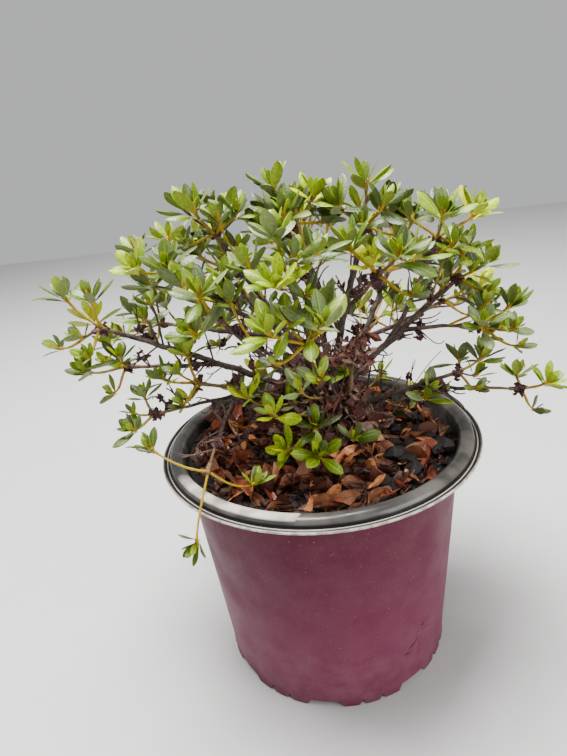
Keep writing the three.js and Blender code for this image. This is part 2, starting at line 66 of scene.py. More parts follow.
# The sizes of the part's source, which the pot, limbs and shoots below keep to
FOOT_RADIUS, BASE_RADIUS, BASE_HEIGHT = 107.5, 107, 7
WALL_TOP_RADIUS, WALL_TOP_HEIGHT = 121, 202
LIP_RADIUS, LIP_HEIGHT = 140, 212
ROLL_RADIUS, ROLL_HEIGHT, THROAT_RADIUS = 128, 219, 121.5
WALL, FLOOR = 2, 8
ARCH_COUNT, ARCH_WIDTH, ARCH_HEIGHT, ARCH_AZIMUTH = 8, 30, 6.5, -99
MIX_EDGE, MIX_CROWN, MIX_SEAT = 206, 214, 24
TRUNK_X, TRUNK_Y, TRUNK_HEIGHT = 21, 2, 40
TRUNK_LEAN_X, TRUNK_LEAN_Y = -6, -2
TRUNK_BASE, TRUNK_TOP = 9, 6.5
FLARE, FLARE_FALL, FLARE_LOBES, LOBE_DEPTH = 6, 6, 5, 0.3
CLEARANCE = 0.3
BOUGH_TAPER, BOUGH_SET_OUT, BOUGH_ARRIVE, BOUGH_ENTRY = 0.58, 0.38, 0.22, 0.62
STEM_RADIUS, SHOOT_RADIUS, NECK_RADIUS = 1.8, 1.4, 1.1
KNOT_RADIUS, KNOT_SETBACK = 3.4, 0.3
GROWTH_SEED, CROWN_MIDDLE, UPWARD, CAP_ANGLE = 97, 300, 0.35, 108
FIRST_SHARE, POLAR_SPREAD, TURN_SPREAD = 0.35, 0.2, 0.5
SHORTEST, LENGTH_SPREAD, REACHES = 0.88, 0.24, (1, 0.88, 0.76, 0.64)
HANDLE, RISE = 0.36, 0.45
CELL_MARGIN, LIMB_MARGIN, RIM_MARGIN, LIMB_LINES = 0.4, 0.6, 2, 8


@dataclass
class Tip:
    """The end of one trailing shoot."""

    turn: float
    out: float
    height: float
    rise: float


@dataclass
class Mass:
    """A mass of foliage, placed by its azimuth, its distance from the pot's axis and its height."""

    name: str
    turn: float
    out: float
    height: float
    spread: float
    shoots: int
    leaf_size: float = 1
    on_trunk: float = 0
    rise: float = RISE
    tips: tuple = ()
    yellow: float = 0.06  # share of its sprays that are mostly fresh green to yellow


TRAILING_TIPS = (Tip(220, 156, 267, 0.3), Tip(233, 156, 200, -0.6), Tip(239, 100, 222, 0.6))

MASSES = [
    Mass("top_left", 161, 77, 400, 28, 5),
    Mass("crown_top", 107, 16, 402, 26, 5),
    Mass("top_mid", 0, 54, 396, 26, 5),
    Mass("top_right", 0, 110, 382, 27, 5, yellow=0.2),
    Mass("left_upper", 183, 112, 376, 27, 5, leaf_size=0.92, yellow=0.2),
    Mass("left_far", 192, 170, 344, 29, 5, leaf_size=0.88, yellow=0.12),
    Mass("left_low", 187, 160, 302, 25, 4, leaf_size=0.83, yellow=0.12),
    Mass("front_up", 261, 72, 374, 26, 5, yellow=0.25),
    Mass("front_left", 218, 89, 350, 28, 5, yellow=0.25),
    Mass("front_low", 268, 93, 332, 27, 5, yellow=0.75),
    Mass("centre_right", 317, 76, 366, 27, 5, yellow=0.2),
    Mass("right_up", 2, 130, 344, 27, 4, leaf_size=0.9, yellow=0.25),
    Mass("right_mid", 354, 144, 304, 26, 4, leaf_size=0.88, yellow=0.35),
    Mass("right_low", 352, 126, 268, 20, 3, leaf_size=0.85, yellow=0.4),
    Mass("right_tip", 354, 177, 246, 18, 3, leaf_size=0.8, yellow=0.5),
    Mass("top_back", 86, 76, 382, 31, 5),
    Mass("back_left", 134, 118, 362, 32, 5),
    Mass("back_right", 42, 118, 356, 32, 5),
    Mass("back_mid", 90, 134, 332, 33, 5),
    Mass("back_far_left", 158, 156, 316, 31, 5, yellow=0.2),
    Mass("back_far_right", 28, 154, 306, 31, 5, yellow=0.2),
    Mass("back_low_left", 124, 140, 288, 28, 4, yellow=0.25),
    Mass("back_low_right", 60, 142, 280, 28, 4, yellow=0.25),
    Mass("low_left", 202, 105, 290, 23, 4, leaf_size=0.85, yellow=0.3),
    Mass("left_lowest", 198, 142, 266, 18, 2, leaf_size=0.7, yellow=0.5),
    Mass("trailing", 230, 130, 240, 12, 3, leaf_size=0.72, tips=TRAILING_TIPS, yellow=0.35),
    Mass("sprout_front", 262, 50, 236, 21, 4, leaf_size=0.95, on_trunk=0.2, yellow=0.5),
    Mass("sprout_right", 354, 84, 244, 15, 2, leaf_size=0.95, yellow=0.5),
    Mass("withered", 324, 40, 300, 18, 3, leaf_size=0.75, on_trunk=0.92, rise=-0.6),
]


@dataclass
class Bough:
    """A bough from a share of its parent's length to the mass of its name. A lift of 1 is straight up."""

    name: str
    parent: str
    at: float
    radius: float
    lift: float


BOUGHS = [
    Bough("top_mid", "trunk", 0.97, 4, 0.85),
    Bough("crown_top", "top_mid", 0.35, 2.7, 0.7),
    Bough("centre_right", "top_mid", 0.5, 2.4, 0.35),
    Bough("top_left", "trunk", 0.86, 3.9, 0.62),
    Bough("left_upper", "top_left", 0.4, 2.8, 0.3),
    Bough("right_up", "trunk", 0.8, 3.9, 0.5),
    Bough("top_right", "right_up", 0.42, 2.7, 0.6),
    Bough("right_mid", "right_up", 0.55, 2.4, 0.1),
    Bough("right_low", "trunk", 0.4, 3, 0.3),
    Bough("right_tip", "right_low", 0.55, 2.1, 0),
    Bough("front_up", "trunk", 0.84, 3.6, 0.6),
    Bough("front_low", "front_up", 0.38, 2.6, 0.3),
    Bough("front_left", "trunk", 0.66, 3.3, 0.45),
    Bough("left_far", "trunk", 0.56, 3.6, 0.4),
    Bough("left_low", "left_far", 0.5, 2.5, 0.05),
    Bough("low_left", "trunk", 0.4, 2.7, 0.4),
    Bough("top_back", "trunk", 0.76, 3.7, 0.6),
    Bough("back_mid", "top_back", 0.36, 2.7, 0.3),
    Bough("back_left", "trunk", 0.7, 3.7, 0.5),
    Bough("back_far_left", "back_left", 0.42, 2.7, 0.1),
    Bough("back_right", "trunk", 0.6, 3.7, 0.5),
    Bough("back_far_right", "back_right", 0.42, 2.7, 0.1),
    Bough("back_low_left", "trunk", 0.46, 3, 0.25),
    Bough("back_low_right", "trunk", 0.42, 3, 0.25),
    Bough("left_lowest", "low_left", 0.6, 2, 0),
    Bough("trailing", "low_left", 0.7, 1.8, 0),
    Bough("sprout_right", "trunk", 0.16, 2, 0.3),
]


# Numbers, directions and curves

def seeded(seed):
    """The part's own stream of numbers from 0 to 1."""
    mask = 0xFFFFFFFF
    state = seed & mask

    def draw():
        nonlocal state
        state = (state + 0x6D2B79F5) & mask
        mixed = ((state ^ (state >> 15)) * (state | 1)) & mask
        mixed ^= (mixed + (((mixed ^ (mixed >> 7)) * (mixed | 61)) & mask)) & mask
        return (mixed ^ (mixed >> 14)) / (mask + 1)

    return draw


def lerp(a, b, share):
    return a + (b - a) * share


def smooth_step(low, high, value):
    share = min(max((value - low) / (high - low), 0), 1)
    return share * share * (3 - 2 * share)


def perpendicular(direction):
    aside = Vector((1, 0, 0)) if abs(direction.z) > 0.9 else UP
    return direction.cross(aside).normalized()


def turned_about(direction, axis, angle):
    turned = direction.copy()
    turned.rotate(Matrix.Rotation(angle, 3, axis))
    return turned


def around(radius, angle, height=0):
    """The point at a distance from an upright axis, an angle round it and a height."""
    return Vector((radius * math.cos(angle), radius * math.sin(angle), height))


def placed(spot):
    """The point of a tip or a mass."""
    return around(spot.out, math.radians(spot.turn), spot.height)


def spoke_at(across, other, angle):
    """The direction at an angle round the axis that two directions are square to."""
    return across * math.cos(angle) + other * math.sin(angle)


def turns(sides):
    return [math.tau * k / sides for k in range(sides)]


class Curve:
    """A Bezier curve on three or four handles."""

    def __init__(self, *handles):
        self.handles = [Vector(handle) for handle in handles]

    def narrowed(self, share, left):
        points = self.handles
        while len(points) > left:
            points = [a.lerp(b, share) for a, b in zip(points, points[1:])]
        return points

    def point(self, share):
        return self.narrowed(share, 1)[0]

    def heading(self, share):
        a, b = self.narrowed(share, 2)
        return (b - a).normalized()

    def points(self, steps):
        return [self.point(i / steps) for i in range(steps + 1)]

    def length(self):
        points = self.points(16)
        return sum((b - a).length for a, b in zip(points, points[1:]))


# Shapes

def add_object(name, data):
    made = bpy.data.objects.new(name, data)
    bpy.context.scene.collection.objects.link(made)
    return made


class Shape:
    """Corners in millimetres and faces, gathered for one piece."""

    def __init__(self):
        self.corners = []
        self.faces = []
        self.finishes = []
        self.count = 0

    def add(self, corners, faces, finishes=0):
        corners = np.asarray(corners, float).reshape(-1, 3)
        self.corners.append(corners)
        self.faces += [[self.count + i for i in face] for face in faces]
        self.finishes += [finishes] * len(faces) if isinstance(finishes, int) else list(finishes)
        self.count += len(corners)

    def mesh(self, name):
        mesh = bpy.data.meshes.new(name)
        mesh.from_pydata((np.concatenate(self.corners) * MM).tolist(), [], self.faces)
        return mesh

    def piece(self, name, slot, materials, replaced=(), crease=None):
        """The finished piece. Edges over `crease` degrees stay sharp; without it every face is flat."""
        mesh = self.mesh(name)
        mesh.polygons.foreach_set("material_index", self.finishes)
        for material in materials:
            mesh.materials.append(material)
        if crease is not None:
            mesh.shade_smooth()
            mesh.set_sharp_from_angle(angle=math.radians(crease))
        mesh.update()
        made = add_object(name, mesh)
        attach(made, BODY)
        if replaced:
            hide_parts(*replaced)
        return made


def add_tube(shape, points, radii, sides, relief=None, young_from=1):
    """A closed tube through points. `relief` gives a factor on its radius at a length along it and an angle.
    Past the share `young_from` of its points the tube has the piece's second finish."""
    corners = []
    side = perpendicular((points[1] - points[0]).normalized())
    along = 0
    last = len(points) - 1
    for i, (point, radius) in enumerate(zip(points, radii)):
        heading = (points[min(i + 1, last)] - points[max(i - 1, 0)]).normalized()
        side = (side - heading * side.dot(heading)).normalized()
        other = heading.cross(side)
        along += (point - points[i - 1]).length if i else 0
        for angle in turns(sides):
            reach = radius * (relief(along, angle) if relief else 1)
            corners.append(point + spoke_at(side, other, angle) * reach)
    faces, finishes = [], []
    for i in range(last):
        for k in range(sides):
            a, b = i * sides + k, i * sides + (k + 1) % sides
            faces.append((a, b, b + sides, a + sides))
            finishes.append(int(i / last >= young_from))
    faces.append(tuple(reversed(range(sides))))
    faces.append(tuple(last * sides + k for k in range(sides)))
    shape.add(corners, faces, finishes + [int(young_from <= 0), int(young_from < 1)])


def add_lathe(shape, profile, sides, shift):
    """A solid turned about the pot's axis, where its profile starts and ends. `shift` moves a corner."""
    rings = profile[1:-1]
    corners = [Vector((0, 0, profile[0][1]))]
    for radius, height in rings:
        corners += [shift(around(radius, angle, height)) for angle in turns(sides)]
    corners.append(Vector((0, 0, profile[-1][1])))
    faces = []
    end = len(corners) - 1
    for k in range(sides):
        after = (k + 1) % sides
        faces.append((0, 1 + after, 1 + k))
        for ring in range(len(rings) - 1):
            a, b = 1 + ring * sides + k, 1 + ring * sides + after
            faces.append((a, b, b + sides, a + sides))
        faces.append((end - sides + k, end - sides + after, end))
    shape.add(corners, faces)


def add_ring(shape, section, sides):
    """A closed ring turned about the pot's axis, from a section that closes on itself."""
    corners = [around(radius, angle, height) for angle in turns(sides) for radius, height in section]
    count = len(section)
    faces = []
    for k in range(sides):
        here, after = k * count, (k + 1) % sides * count
        for i in range(count):
            j = (i + 1) % count
            faces.append((here + i, after + i, after + j, here + j))
    shape.add(corners, faces)


# Leaves. A blade is a thin closed body of rows along it. A row has six corners on top, with the midrib
# between the middle two, and three below, joined to the outermost two on top.
ROWS = (0, 0.1, 0.22, 0.36, 0.52, 0.68, 0.82, 0.92, 0.98, 1)
FEW_ROWS = (0, 0.3, 0.7, 1)
PETIOLE = 0.1
RIPPLE = 9  # radians of an edge's wave along a whole leaf
UPPER, VEIN, UNDER, STALK = range(4)
TOP_COLUMNS, LOW_COLUMNS, END_COLUMNS = (0, 1, 2, 3, 4, 5), (0, 6, 7, 8, 5), (0, 1, 2, 3, 4, 5, 8, 7, 6)
ROW_CORNERS, MIDRIB_COLUMN = 9, 2
COLUMN_SIDES = np.array([-1, -0.55, -0.07, 0.07, 0.55, 1, -0.55, 0, 0.55])
COLUMN_DEPTHS = np.array([0, 0, 0.15, 0.15, 0, 0, 0.5, 1, 0.5])


def azalea_outline(share):
    """Half the width of an azalea leaf at a share of its length, where 1 is its widest. Its tip is round."""
    blade = np.clip((share - PETIOLE) / (1 - PETIOLE), 0, 1)
    return np.maximum(np.sin(np.pi * blade**1.3) ** 0.62, 0.1)


def pointed_outline(share):
    """Half the width of a dead leaf, which is pointed at both ends."""
    blade = np.clip((share - PETIOLE) / (1 - PETIOLE), 0, 1)
    return np.maximum(np.sin(np.pi * blade**1.15) ** 0.85, 0.08)


def strip_outline(share):
    """Half the width of a shred of bark or a bud scale."""
    return np.maximum(np.sin(np.pi * (0.12 + 0.85 * share)) ** 0.5, 0.1)


def blade_faces(rows):
    """The faces of a blade with that many rows, and which part of the leaf each is."""
    faces, parts = [], []
    for row in range(rows - 1):
        top = [ROW_CORNERS * row + k for k in TOP_COLUMNS]
        below = [ROW_CORNERS * row + k for k in LOW_COLUMNS]
        for k, (a, b) in enumerate(zip(top, top[1:])):
            faces.append((a, a + ROW_CORNERS, b + ROW_CORNERS, b))
            parts.append(STALK if row == 0 else VEIN if k == MIDRIB_COLUMN or row == 1 else UPPER)
        for a, b in zip(below, below[1:]):
            faces.append((a, b, b + ROW_CORNERS, a + ROW_CORNERS))
            parts.append(STALK if row == 0 else VEIN if row == 1 else UNDER)
    faces.append(END_COLUMNS)
    faces.append(tuple(ROW_CORNERS * (rows - 1) + k for k in reversed(END_COLUMNS)))
    parts += [STALK, UNDER]
    return faces, parts


BLADE_FACES = {len(rows): blade_faces(len(rows)) for rows in (ROWS, FEW_ROWS)}


@dataclass
class Blade:
    """How a leaf is bent: all but the sizes are in radians or shares of its half width."""

    length: float
    width: float
    arch: float = 0.3
    fold: float = 0.1
    curl: float = 0.2
    bulge: float = 0
    wave: float = 0
    phase: float = 0
    roll: float = 0
    thick: float = 0.45


def add_blade(shape, root, heading, face, blade, outline=azalea_outline, rows=ROWS, parts=None):
    """A leaf from its root along a heading, its upper side turned to `face`."""
    share = np.array(rows)[:, None]
    half = blade.width / 2 * outline(share)
    across = half * COLUMN_SIDES
    wing = np.abs(COLUMN_SIDES)
    height = half * (blade.fold * wing + blade.bulge * np.sin(np.pi * wing) - blade.curl * wing**2)
    height += blade.wave * half * wing * np.sin(RIPPLE * share + blade.phase)
    height -= blade.thick * COLUMN_DEPTHS * np.minimum(half / half.max() + 0.3, 1)
    bend = blade.arch if abs(blade.arch) > 1e-3 else 1e-3
    turn = bend * share
    along = blade.length * np.sin(turn) / bend + height * np.sin(turn)
    rise = blade.length * (np.cos(turn) - 1) / bend + height * np.cos(turn)
    side = face.cross(heading).normalized()
    side.rotate(Matrix.Rotation(blade.roll, 3, heading))
    normal = heading.cross(side)
    frame_axes = np.array([heading, side, normal])
    local = np.stack([along, across + 0 * along, rise], axis=-1).reshape(-1, 3)
    corners = np.array(root) + local @ frame_axes
    faces, own_parts = BLADE_FACES[len(rows)]
    shape.add(corners, faces, own_parts if parts is None else [parts] * len(faces))


# Finishes

class Finish:
    """A surface whose colour, roughness and relief come from procedural nodes."""

    def __init__(self, name, roughness, specular=0.5):
        self.material = bpy.data.materials.new(name)
        self.material.use_nodes = True
        self.tree = self.material.node_tree
        self.surface = self.tree.nodes["Principled BSDF"]
        self.place = self.node("ShaderNodeTexCoord").outputs["Object"]
        self.roughness(roughness)
        self.put(specular, self.surface.inputs["Specular IOR Level"])

    def put(self, value, socket):
        """Gives a socket a number, a colour or another node's output."""
        if isinstance(value, (int, float)):
            socket.default_value = value
        elif isinstance(value, tuple):
            socket.default_value = (*value, 1)
        else:
            self.tree.links.new(value, socket)

    def node(self, kind, inputs=None, **settings):
        made = self.tree.nodes.new(kind)
        for key, value in settings.items():
            setattr(made, key, value)
        for name, value in (inputs or {}).items():
            self.put(value, made.inputs[name])
        return made

    def axes(self):
        return self.node("ShaderNodeSeparateXYZ", {"Vector": self.place}).outputs

    def noise(self, scale, detail=3, roughness=0.5):
        """Fractal noise whose cells are about 1 / scale metres wide."""
        inputs = {"Scale": scale, "Detail": detail, "Roughness": roughness, "Vector": self.place}
        return self.node("ShaderNodeTexNoise", inputs).outputs["Fac"]

    def ramp(self, factor, *stops):
        """Colours from stops of (position, colour)."""
        made = self.node("ShaderNodeValToRGB", {"Fac": factor})
        for element, (position, color) in zip(made.color_ramp.elements, stops):
            element.position = position
            element.color = (*color, 1)
        return made.outputs["Color"]

    def steps(self, factor, low, high, start=0.0, end=1.0):
        """A value that goes smoothly from start to end as the factor goes from low to high."""
        inputs = {"Value": factor, "From Min": low, "From Max": high, "To Min": start, "To Max": end}
        return self.node("ShaderNodeMapRange", inputs, interpolation_type="SMOOTHSTEP").outputs["Result"]

    def band(self, factor, start, full, fade, end, peak=1.0):
        """A value that rises from 0 to its peak between start and full, and falls between fade and end."""
        return self.times(self.steps(factor, start, full, 0, peak), self.steps(factor, fade, end, 1, 0))

    def math(self, operation, *values):
        made = self.node("ShaderNodeMath", operation=operation)
        for socket, value in zip(made.inputs, values):
            self.put(value, socket)
        return made.outputs[0]

    def times(self, a, b):
        return self.math("MULTIPLY", a, b)

    def plus(self, a, b):
        return self.math("ADD", a, b)

    def minus(self, a, b):
        return self.math("SUBTRACT", a, b)

    def mix(self, factor, a, b):
        """Colour a where the factor is 0 and b where it is 1."""
        made = self.node("ShaderNodeMix", {"Factor": factor}, data_type="RGBA")
        colours = [socket for socket in made.inputs if socket.type == "RGBA"]
        for socket, value in zip(colours, (a, b)):
            self.put(value, socket)
        return next(socket for socket in made.outputs if socket.type == "RGBA")

    def colour(self, source):
        self.put(source, self.surface.inputs["Base Color"])

    def roughness(self, source):
        self.put(source, self.surface.inputs["Roughness"])

    def relief(self, height, depth):
        bump = self.node("ShaderNodeBump", {"Distance": depth * MM, "Strength": 1, "Height": height})
        self.put(bump.outputs["Normal"], self.surface.inputs["Normal"])


def shade(color, factor):
    return tuple(channel * factor for channel in color)


def mottled(name, color, roughness, scale=500, contrast=0.3, specular=0.5, bump=0.15):
    """A finish of one colour with fine mottling."""
    finish = Finish(name, roughness, specular)
    grain = finish.noise(scale, 4)
    finish.colour(finish.ramp(grain, (0.3, shade(color, 1 - contrast)), (0.7, shade(color, 1 + contrast))))
    finish.relief(grain, bump)
    return finish.material


def streaked(name, dark, light, roughness, scale, bump):
    """A finish of two colours in grain and blotches."""
    finish = Finish(name, roughness, 0.35)
    blotch = finish.noise(scale, 5, 0.65)
    fine = finish.noise(scale * 6)
    both = finish.plus(finish.times(blotch, 0.7), finish.times(fine, 0.3))
    finish.colour(finish.ramp(both, (0.36, dark), (0.64, light)))
    finish.relief(fine, bump)
    return finish.material


# The pot

WALL_COLOUR_TOP = (0.068, 0.0015, 0.018)
WALL_COLOUR_LOW = (0.136, 0.0235, 0.055)
DUST_COLOUR = (0.3, 0.15, 0.17)
RIM_BLACK = (0.034, 0.032, 0.03)
# Near-black painted shade for the groove between the lip and the roll
GROOVE_PAINTED_SHADE = (0.004, 0.004, 0.004)
# Pale colour of real wear, dust and the rubbed lip edge, also used for the painted highlight on the ridge and
# the painted sky reflection in the worn stretch
PALE_WEAR_AND_HIGHLIGHT_COLOUR = (0.68, 0.6, 0.51)
# Painted shade laid into the wall's creases
CREASE_PAINTED_SHADE = (0.03, 0.001, 0.008)
POT_SIDES, WALL_ROWS = 384, 90
# The dents and creases of the wall: azimuth, height, half length, half width, tilt in degrees, and depth
DENTS = ((-112, 88, 30, 20, 60, -0.5), (150, 110, 32, 26, 0, -0.6), (60, 70, 24, 20, 30, -0.6))
CREASES = ((-50, 62, 10, 2.4, 42, -1.1), (-46, 56, 8, 2.2, -28, -0.9), (-54, 50, 9, 2.4, 24, -1),
           (-50, 44, 8, 2.2, 58, -0.9), (-58, 41, 5, 2.2, -12, -0.7), (128, 84, 10, 2.2, 35, -1))
# Where each mark of the rim starts, is full, fades and ends: the worn stretch, partly real wear and partly a
# painted sky reflection, in degrees round the pot, and the others in millimetres from the lip's outer edge:
# the painted highlight on the ridge, the painted shade in the groove and the rubbed edge
WORN_AND_REFLECTION_TURNS = (-152, -140, -97, -95.5)
RIDGE_HIGHLIGHT_GAPS, GROOVE_GAPS, EDGE_GAPS = (5, 4.4, 3.9, 3.4), (6.6, 5.8, 2.2, 1.6), (1.1, 0.5)
WORN_AND_REFLECTION_HEIGHTS = (216.3, 217.8)


def painted_crease_shade(finish, turn, height):
    """How strongly painted shade darkens the wall in its creases, as a value from 0 to 1."""
    strongest_shade = 0.0
    for azimuth, level, half_length, half_width, tilt, _ in CREASES:
        cosine, sine = math.cos(math.radians(tilt)), math.sin(math.radians(tilt))
        aside = finish.times(finish.minus(turn, math.radians(azimuth)), BASE_RADIUS * MM)
        above = finish.minus(height, level * MM)
        along = finish.math("ABSOLUTE", finish.plus(finish.times(aside, cosine), finish.times(above, sine)))
        across = finish.math("ABSOLUTE", finish.minus(finish.times(above, cosine), finish.times(aside, sine)))
        is_near = finish.steps(along, half_length * MM * 0.4, half_length * MM, 1, 0)
        is_on = finish.steps(across, 0, half_width * MM * 0.7, 0.85, 0)
        strongest_shade = finish.math("MAXIMUM", finish.times(is_near, is_on), strongest_shade)
    return strongest_shade


def wall_finish():
    """Thin coloured plastic, paler and dustier towards the foot, with fine specks and painted shade in the
    creases.
    """
    finish = Finish("pot_wall", 0.48, 0.17)
    x, y, z = finish.axes()
    base = finish.mix(finish.steps(z, 0.01, 0.2), WALL_COLOUR_LOW, WALL_COLOUR_TOP)
    low_dust = finish.steps(z, 0, 0.09, 0.32, 0.07)
    blotch = finish.times(finish.steps(finish.noise(45, 6, 0.7), 0.3, 0.75), low_dust)
    dusty = finish.mix(blotch, base, DUST_COLOUR)
    speck = finish.steps(finish.noise(700, 2), 0.69, 0.74, 0, 0.5)
    specked = finish.mix(speck, dusty, DUST_COLOUR)
    waver = finish.times(finish.minus(finish.noise(120, 4), 0.5), 0.012)
    turn = finish.plus(finish.math("ARCTAN2", y, x), waver)
    # The creases are darkened with painted shade
    finish.colour(finish.mix(painted_crease_shade(finish, turn, finish.plus(z, waver)), specked, CREASE_PAINTED_SHADE))
    finish.roughness(finish.steps(finish.noise(30, 4), 0.3, 0.7, 0.44, 0.6))
    finish.relief(finish.noise(260, 4), 0.1)
    return finish.material


def rim_finish():
    """Black plastic, lightly dusty, with a worn pale stretch along the front left of the roll that also holds
    a painted sky reflection, a painted highlight on the ridge and painted shade in the groove.
    """
    finish = Finish("pot_rim", 0.3, 0.4)
    x, y, z = finish.axes()
    # The worn stretch on the roll's crest is partly real wear and partly a painted sky reflection
    ragged = finish.plus(finish.math("ARCTAN2", y, x), finish.times(finish.noise(60, 4), 0.12))
    stretch = finish.band(ragged, *(math.radians(turn) for turn in WORN_AND_REFLECTION_TURNS))
    patch = finish.times(stretch, finish.steps(z, *(height * MM for height in WORN_AND_REFLECTION_HEIGHTS)))
    worn_and_reflection = finish.times(patch, finish.steps(finish.noise(70, 4), 0.3, 0.6, 0.4, 0.9))
    distance = finish.math("SQRT", finish.plus(finish.times(x, x), finish.times(y, y)))

    def from_lip(gaps):
        return [(LIP_RADIUS - gap) * MM for gap in gaps]

    rubbed = finish.steps(finish.noise(160, 4), 0.36, 0.6, 0.35, 0.8)
    edge = finish.times(finish.steps(distance, *from_lip(EDGE_GAPS)), rubbed)
    dust = finish.steps(finish.noise(38, 2), 0.35, 0.7, 0, 0.1)
    pale = finish.math("MAXIMUM", finish.math("MAXIMUM", worn_and_reflection, edge), dust)
    # The groove is painted darker than the rest of the rim: painted shade in the recess
    groove = finish.band(distance, *from_lip(GROOVE_GAPS))
    groove_shaded = finish.mix(groove, finish.mix(pale, RIM_BLACK, PALE_WEAR_AND_HIGHLIGHT_COLOUR), GROOVE_PAINTED_SHADE)
    # A painted highlight: a pale line along the small ridge in the groove
    ridge_highlight = finish.band(distance, *from_lip(RIDGE_HIGHLIGHT_GAPS), peak=0.6)
    finish.colour(finish.mix(ridge_highlight, groove_shaded, PALE_WEAR_AND_HIGHLIGHT_COLOUR))
    finish.roughness(finish.steps(pale, 0, 0.6, 0.22, 0.55))
    finish.relief(finish.noise(300), 0.06)
    return finish.material


def arc(centre_radius, centre_height, radius, start, end, steps):
    """Points of a profile's round stretch, from one angle in degrees to another."""
    angles = [math.radians(lerp(start, end, i / steps)) for i in range(steps + 1)]
    return [(centre_radius + radius * math.cos(a), centre_height + radius * math.sin(a)) for a in angles]


def dented(corner):
    """A corner of the wall, pushed in or out where the thin plastic is dented."""
    if math.hypot(corner.x, corner.y) < BASE_RADIUS - 0.1 or corner.z < BASE_HEIGHT + 1:
        return corner
    azimuth = math.degrees(math.atan2(corner.y, corner.x))
    depth = 0.35 * noise.noise(Vector((corner.x / 45, corner.y / 45, corner.z / 90)))
    for turn, height, half_length, half_width, tilt, push in DENTS + CREASES:
        aside = math.radians((azimuth - turn + 180) % 360 - 180) * BASE_RADIUS
        lean = math.radians(tilt)
        along = (aside * math.cos(lean) + (corner.z - height) * math.sin(lean)) / half_length
        across = ((corner.z - height) * math.cos(lean) - aside * math.sin(lean)) / half_width
        depth += push * math.exp(-(across**2) - along**2)
    return corner + Vector((corner.x, corner.y, 0)).normalized() * depth


def foot_cutters():
    """Wedges that cut the arches and the notched teeth round the pot's foot."""
    shape = Shape()
    pitch = 360 / ARCH_COUNT
    arch_span = math.degrees(ARCH_WIDTH / BASE_RADIUS)

    def wedge(azimuth, width, top_width, height):
        section = [(-width / 2, -2), (width / 2, -2), (top_width / 2, height), (-top_width / 2, height)]
        turn = Matrix.Rotation(math.radians(azimuth), 3, "Z")
        corners = [turn @ Vector((BASE_RADIUS + gap, y, z)) for gap in (-6, 6) for y, z in section]
        faces = [(3, 2, 1, 0), (4, 5, 6, 7), (0, 1, 5, 4), (1, 2, 6, 5), (2, 3, 7, 6), (3, 0, 4, 7)]
        shape.add(corners, faces)

    for arch in range(ARCH_COUNT):
        middle = ARCH_AZIMUTH + arch * pitch
        wedge(middle, ARCH_WIDTH + 6, ARCH_WIDTH - 4, ARCH_HEIGHT)
        for slot in (1, 2):
            azimuth = middle + pitch / 2 + (slot / 3 - 0.5) * (pitch - arch_span)
            wedge(azimuth, 9, 1.5, ARCH_HEIGHT - 1)
    return shape


def make_wall():
    wall = Shape()
    shares = [i / WALL_ROWS for i in range(WALL_ROWS + 1)]
    foot = [(0, 0), (FOOT_RADIUS * 0.5, 0), (FOOT_RADIUS - 0.8, 0), (FOOT_RADIUS, 0.8)]
    outside = [(lerp(BASE_RADIUS, WALL_TOP_RADIUS, s), lerp(BASE_HEIGHT, WALL_TOP_HEIGHT, s)) for s in shares]
    neck = [(WALL_TOP_RADIUS + 1, WALL_TOP_HEIGHT + 3), (WALL_TOP_RADIUS - 0.5, WALL_TOP_HEIGHT + 3.4)]
    inside = [(WALL_TOP_RADIUS - WALL, WALL_TOP_HEIGHT), (BASE_RADIUS - WALL, FLOOR + WALL),
              (BASE_RADIUS - 2 * WALL, FLOOR), (0, FLOOR)]
    add_lathe(wall, foot + outside + neck + inside, POT_SIDES, dented)
    made = wall.piece("pot_wall", "pot_wall", [wall_finish()], replaced=["pot"], crease=50)
    cut_away(made, foot_cutters())


def make_rim():
    rim = Shape()
    under = [(THROAT_RADIUS - 3.4, 196), (THROAT_RADIUS + 0.2, 203), (THROAT_RADIUS + 1.5, LIP_HEIGHT - 4.6)]
    lip = [(LIP_RADIUS - 3, LIP_HEIGHT - 1.2)] + arc(LIP_RADIUS - 1.2, LIP_HEIGHT + 0.2, 1.2, -80, 80, 6)
    groove = [(LIP_RADIUS - 2.4, LIP_HEIGHT + 0.9), (LIP_RADIUS - 3.1, LIP_HEIGHT + 0.1),
              (LIP_RADIUS - 4.2, LIP_HEIGHT + 0.8), (LIP_RADIUS - 5.2, LIP_HEIGHT)]
    roll = arc(ROLL_RADIUS - 0.4, LIP_HEIGHT, ROLL_HEIGHT - 0.2 - LIP_HEIGHT, 12, 176, 14)
    throat = [(THROAT_RADIUS - 1.2, LIP_HEIGHT - 6), (THROAT_RADIUS - 4.4, 197)]
    add_ring(rim, under + lip + groove + roll + throat, POT_SIDES)
    rim.piece("pot_rim", "pot_rim", [rim_finish()], crease=50)


def cut_away(piece, cutters):
    """Takes the cutters out of a piece's mesh."""
    tool = add_object("cutters", cutters.mesh("cutters"))
    cut = piece.modifiers.new("cut", "BOOLEAN")
    cut.operation = "DIFFERENCE"
    cut.solver = "EXACT"
    cut.object = tool
    evaluated = piece.evaluated_get(bpy.context.evaluated_depsgraph_get())
    result = bpy.data.meshes.new_from_object(evaluated)
    piece.modifiers.clear()
    piece.data = result
    bpy.data.objects.remove(tool)


# The bark mix: a bed with loose bark, shreds and dead leaves lying on it

# Dark and light colour of each kind of bark
MIX_COLOURS = {"black": ((0.003, 0.0025, 0.0025), (0.02, 0.015, 0.013)),
               "brown": ((0.018, 0.008, 0.006), (0.11, 0.048, 0.03)),
               "rust": ((0.05, 0.016, 0.01), (0.24, 0.085, 0.042))}
# How many small chips and how many thin shreds there are of each colour
LOOSE_BARK = {"black": (300, 300), "brown": (320, 620), "rust": (90, 380)}
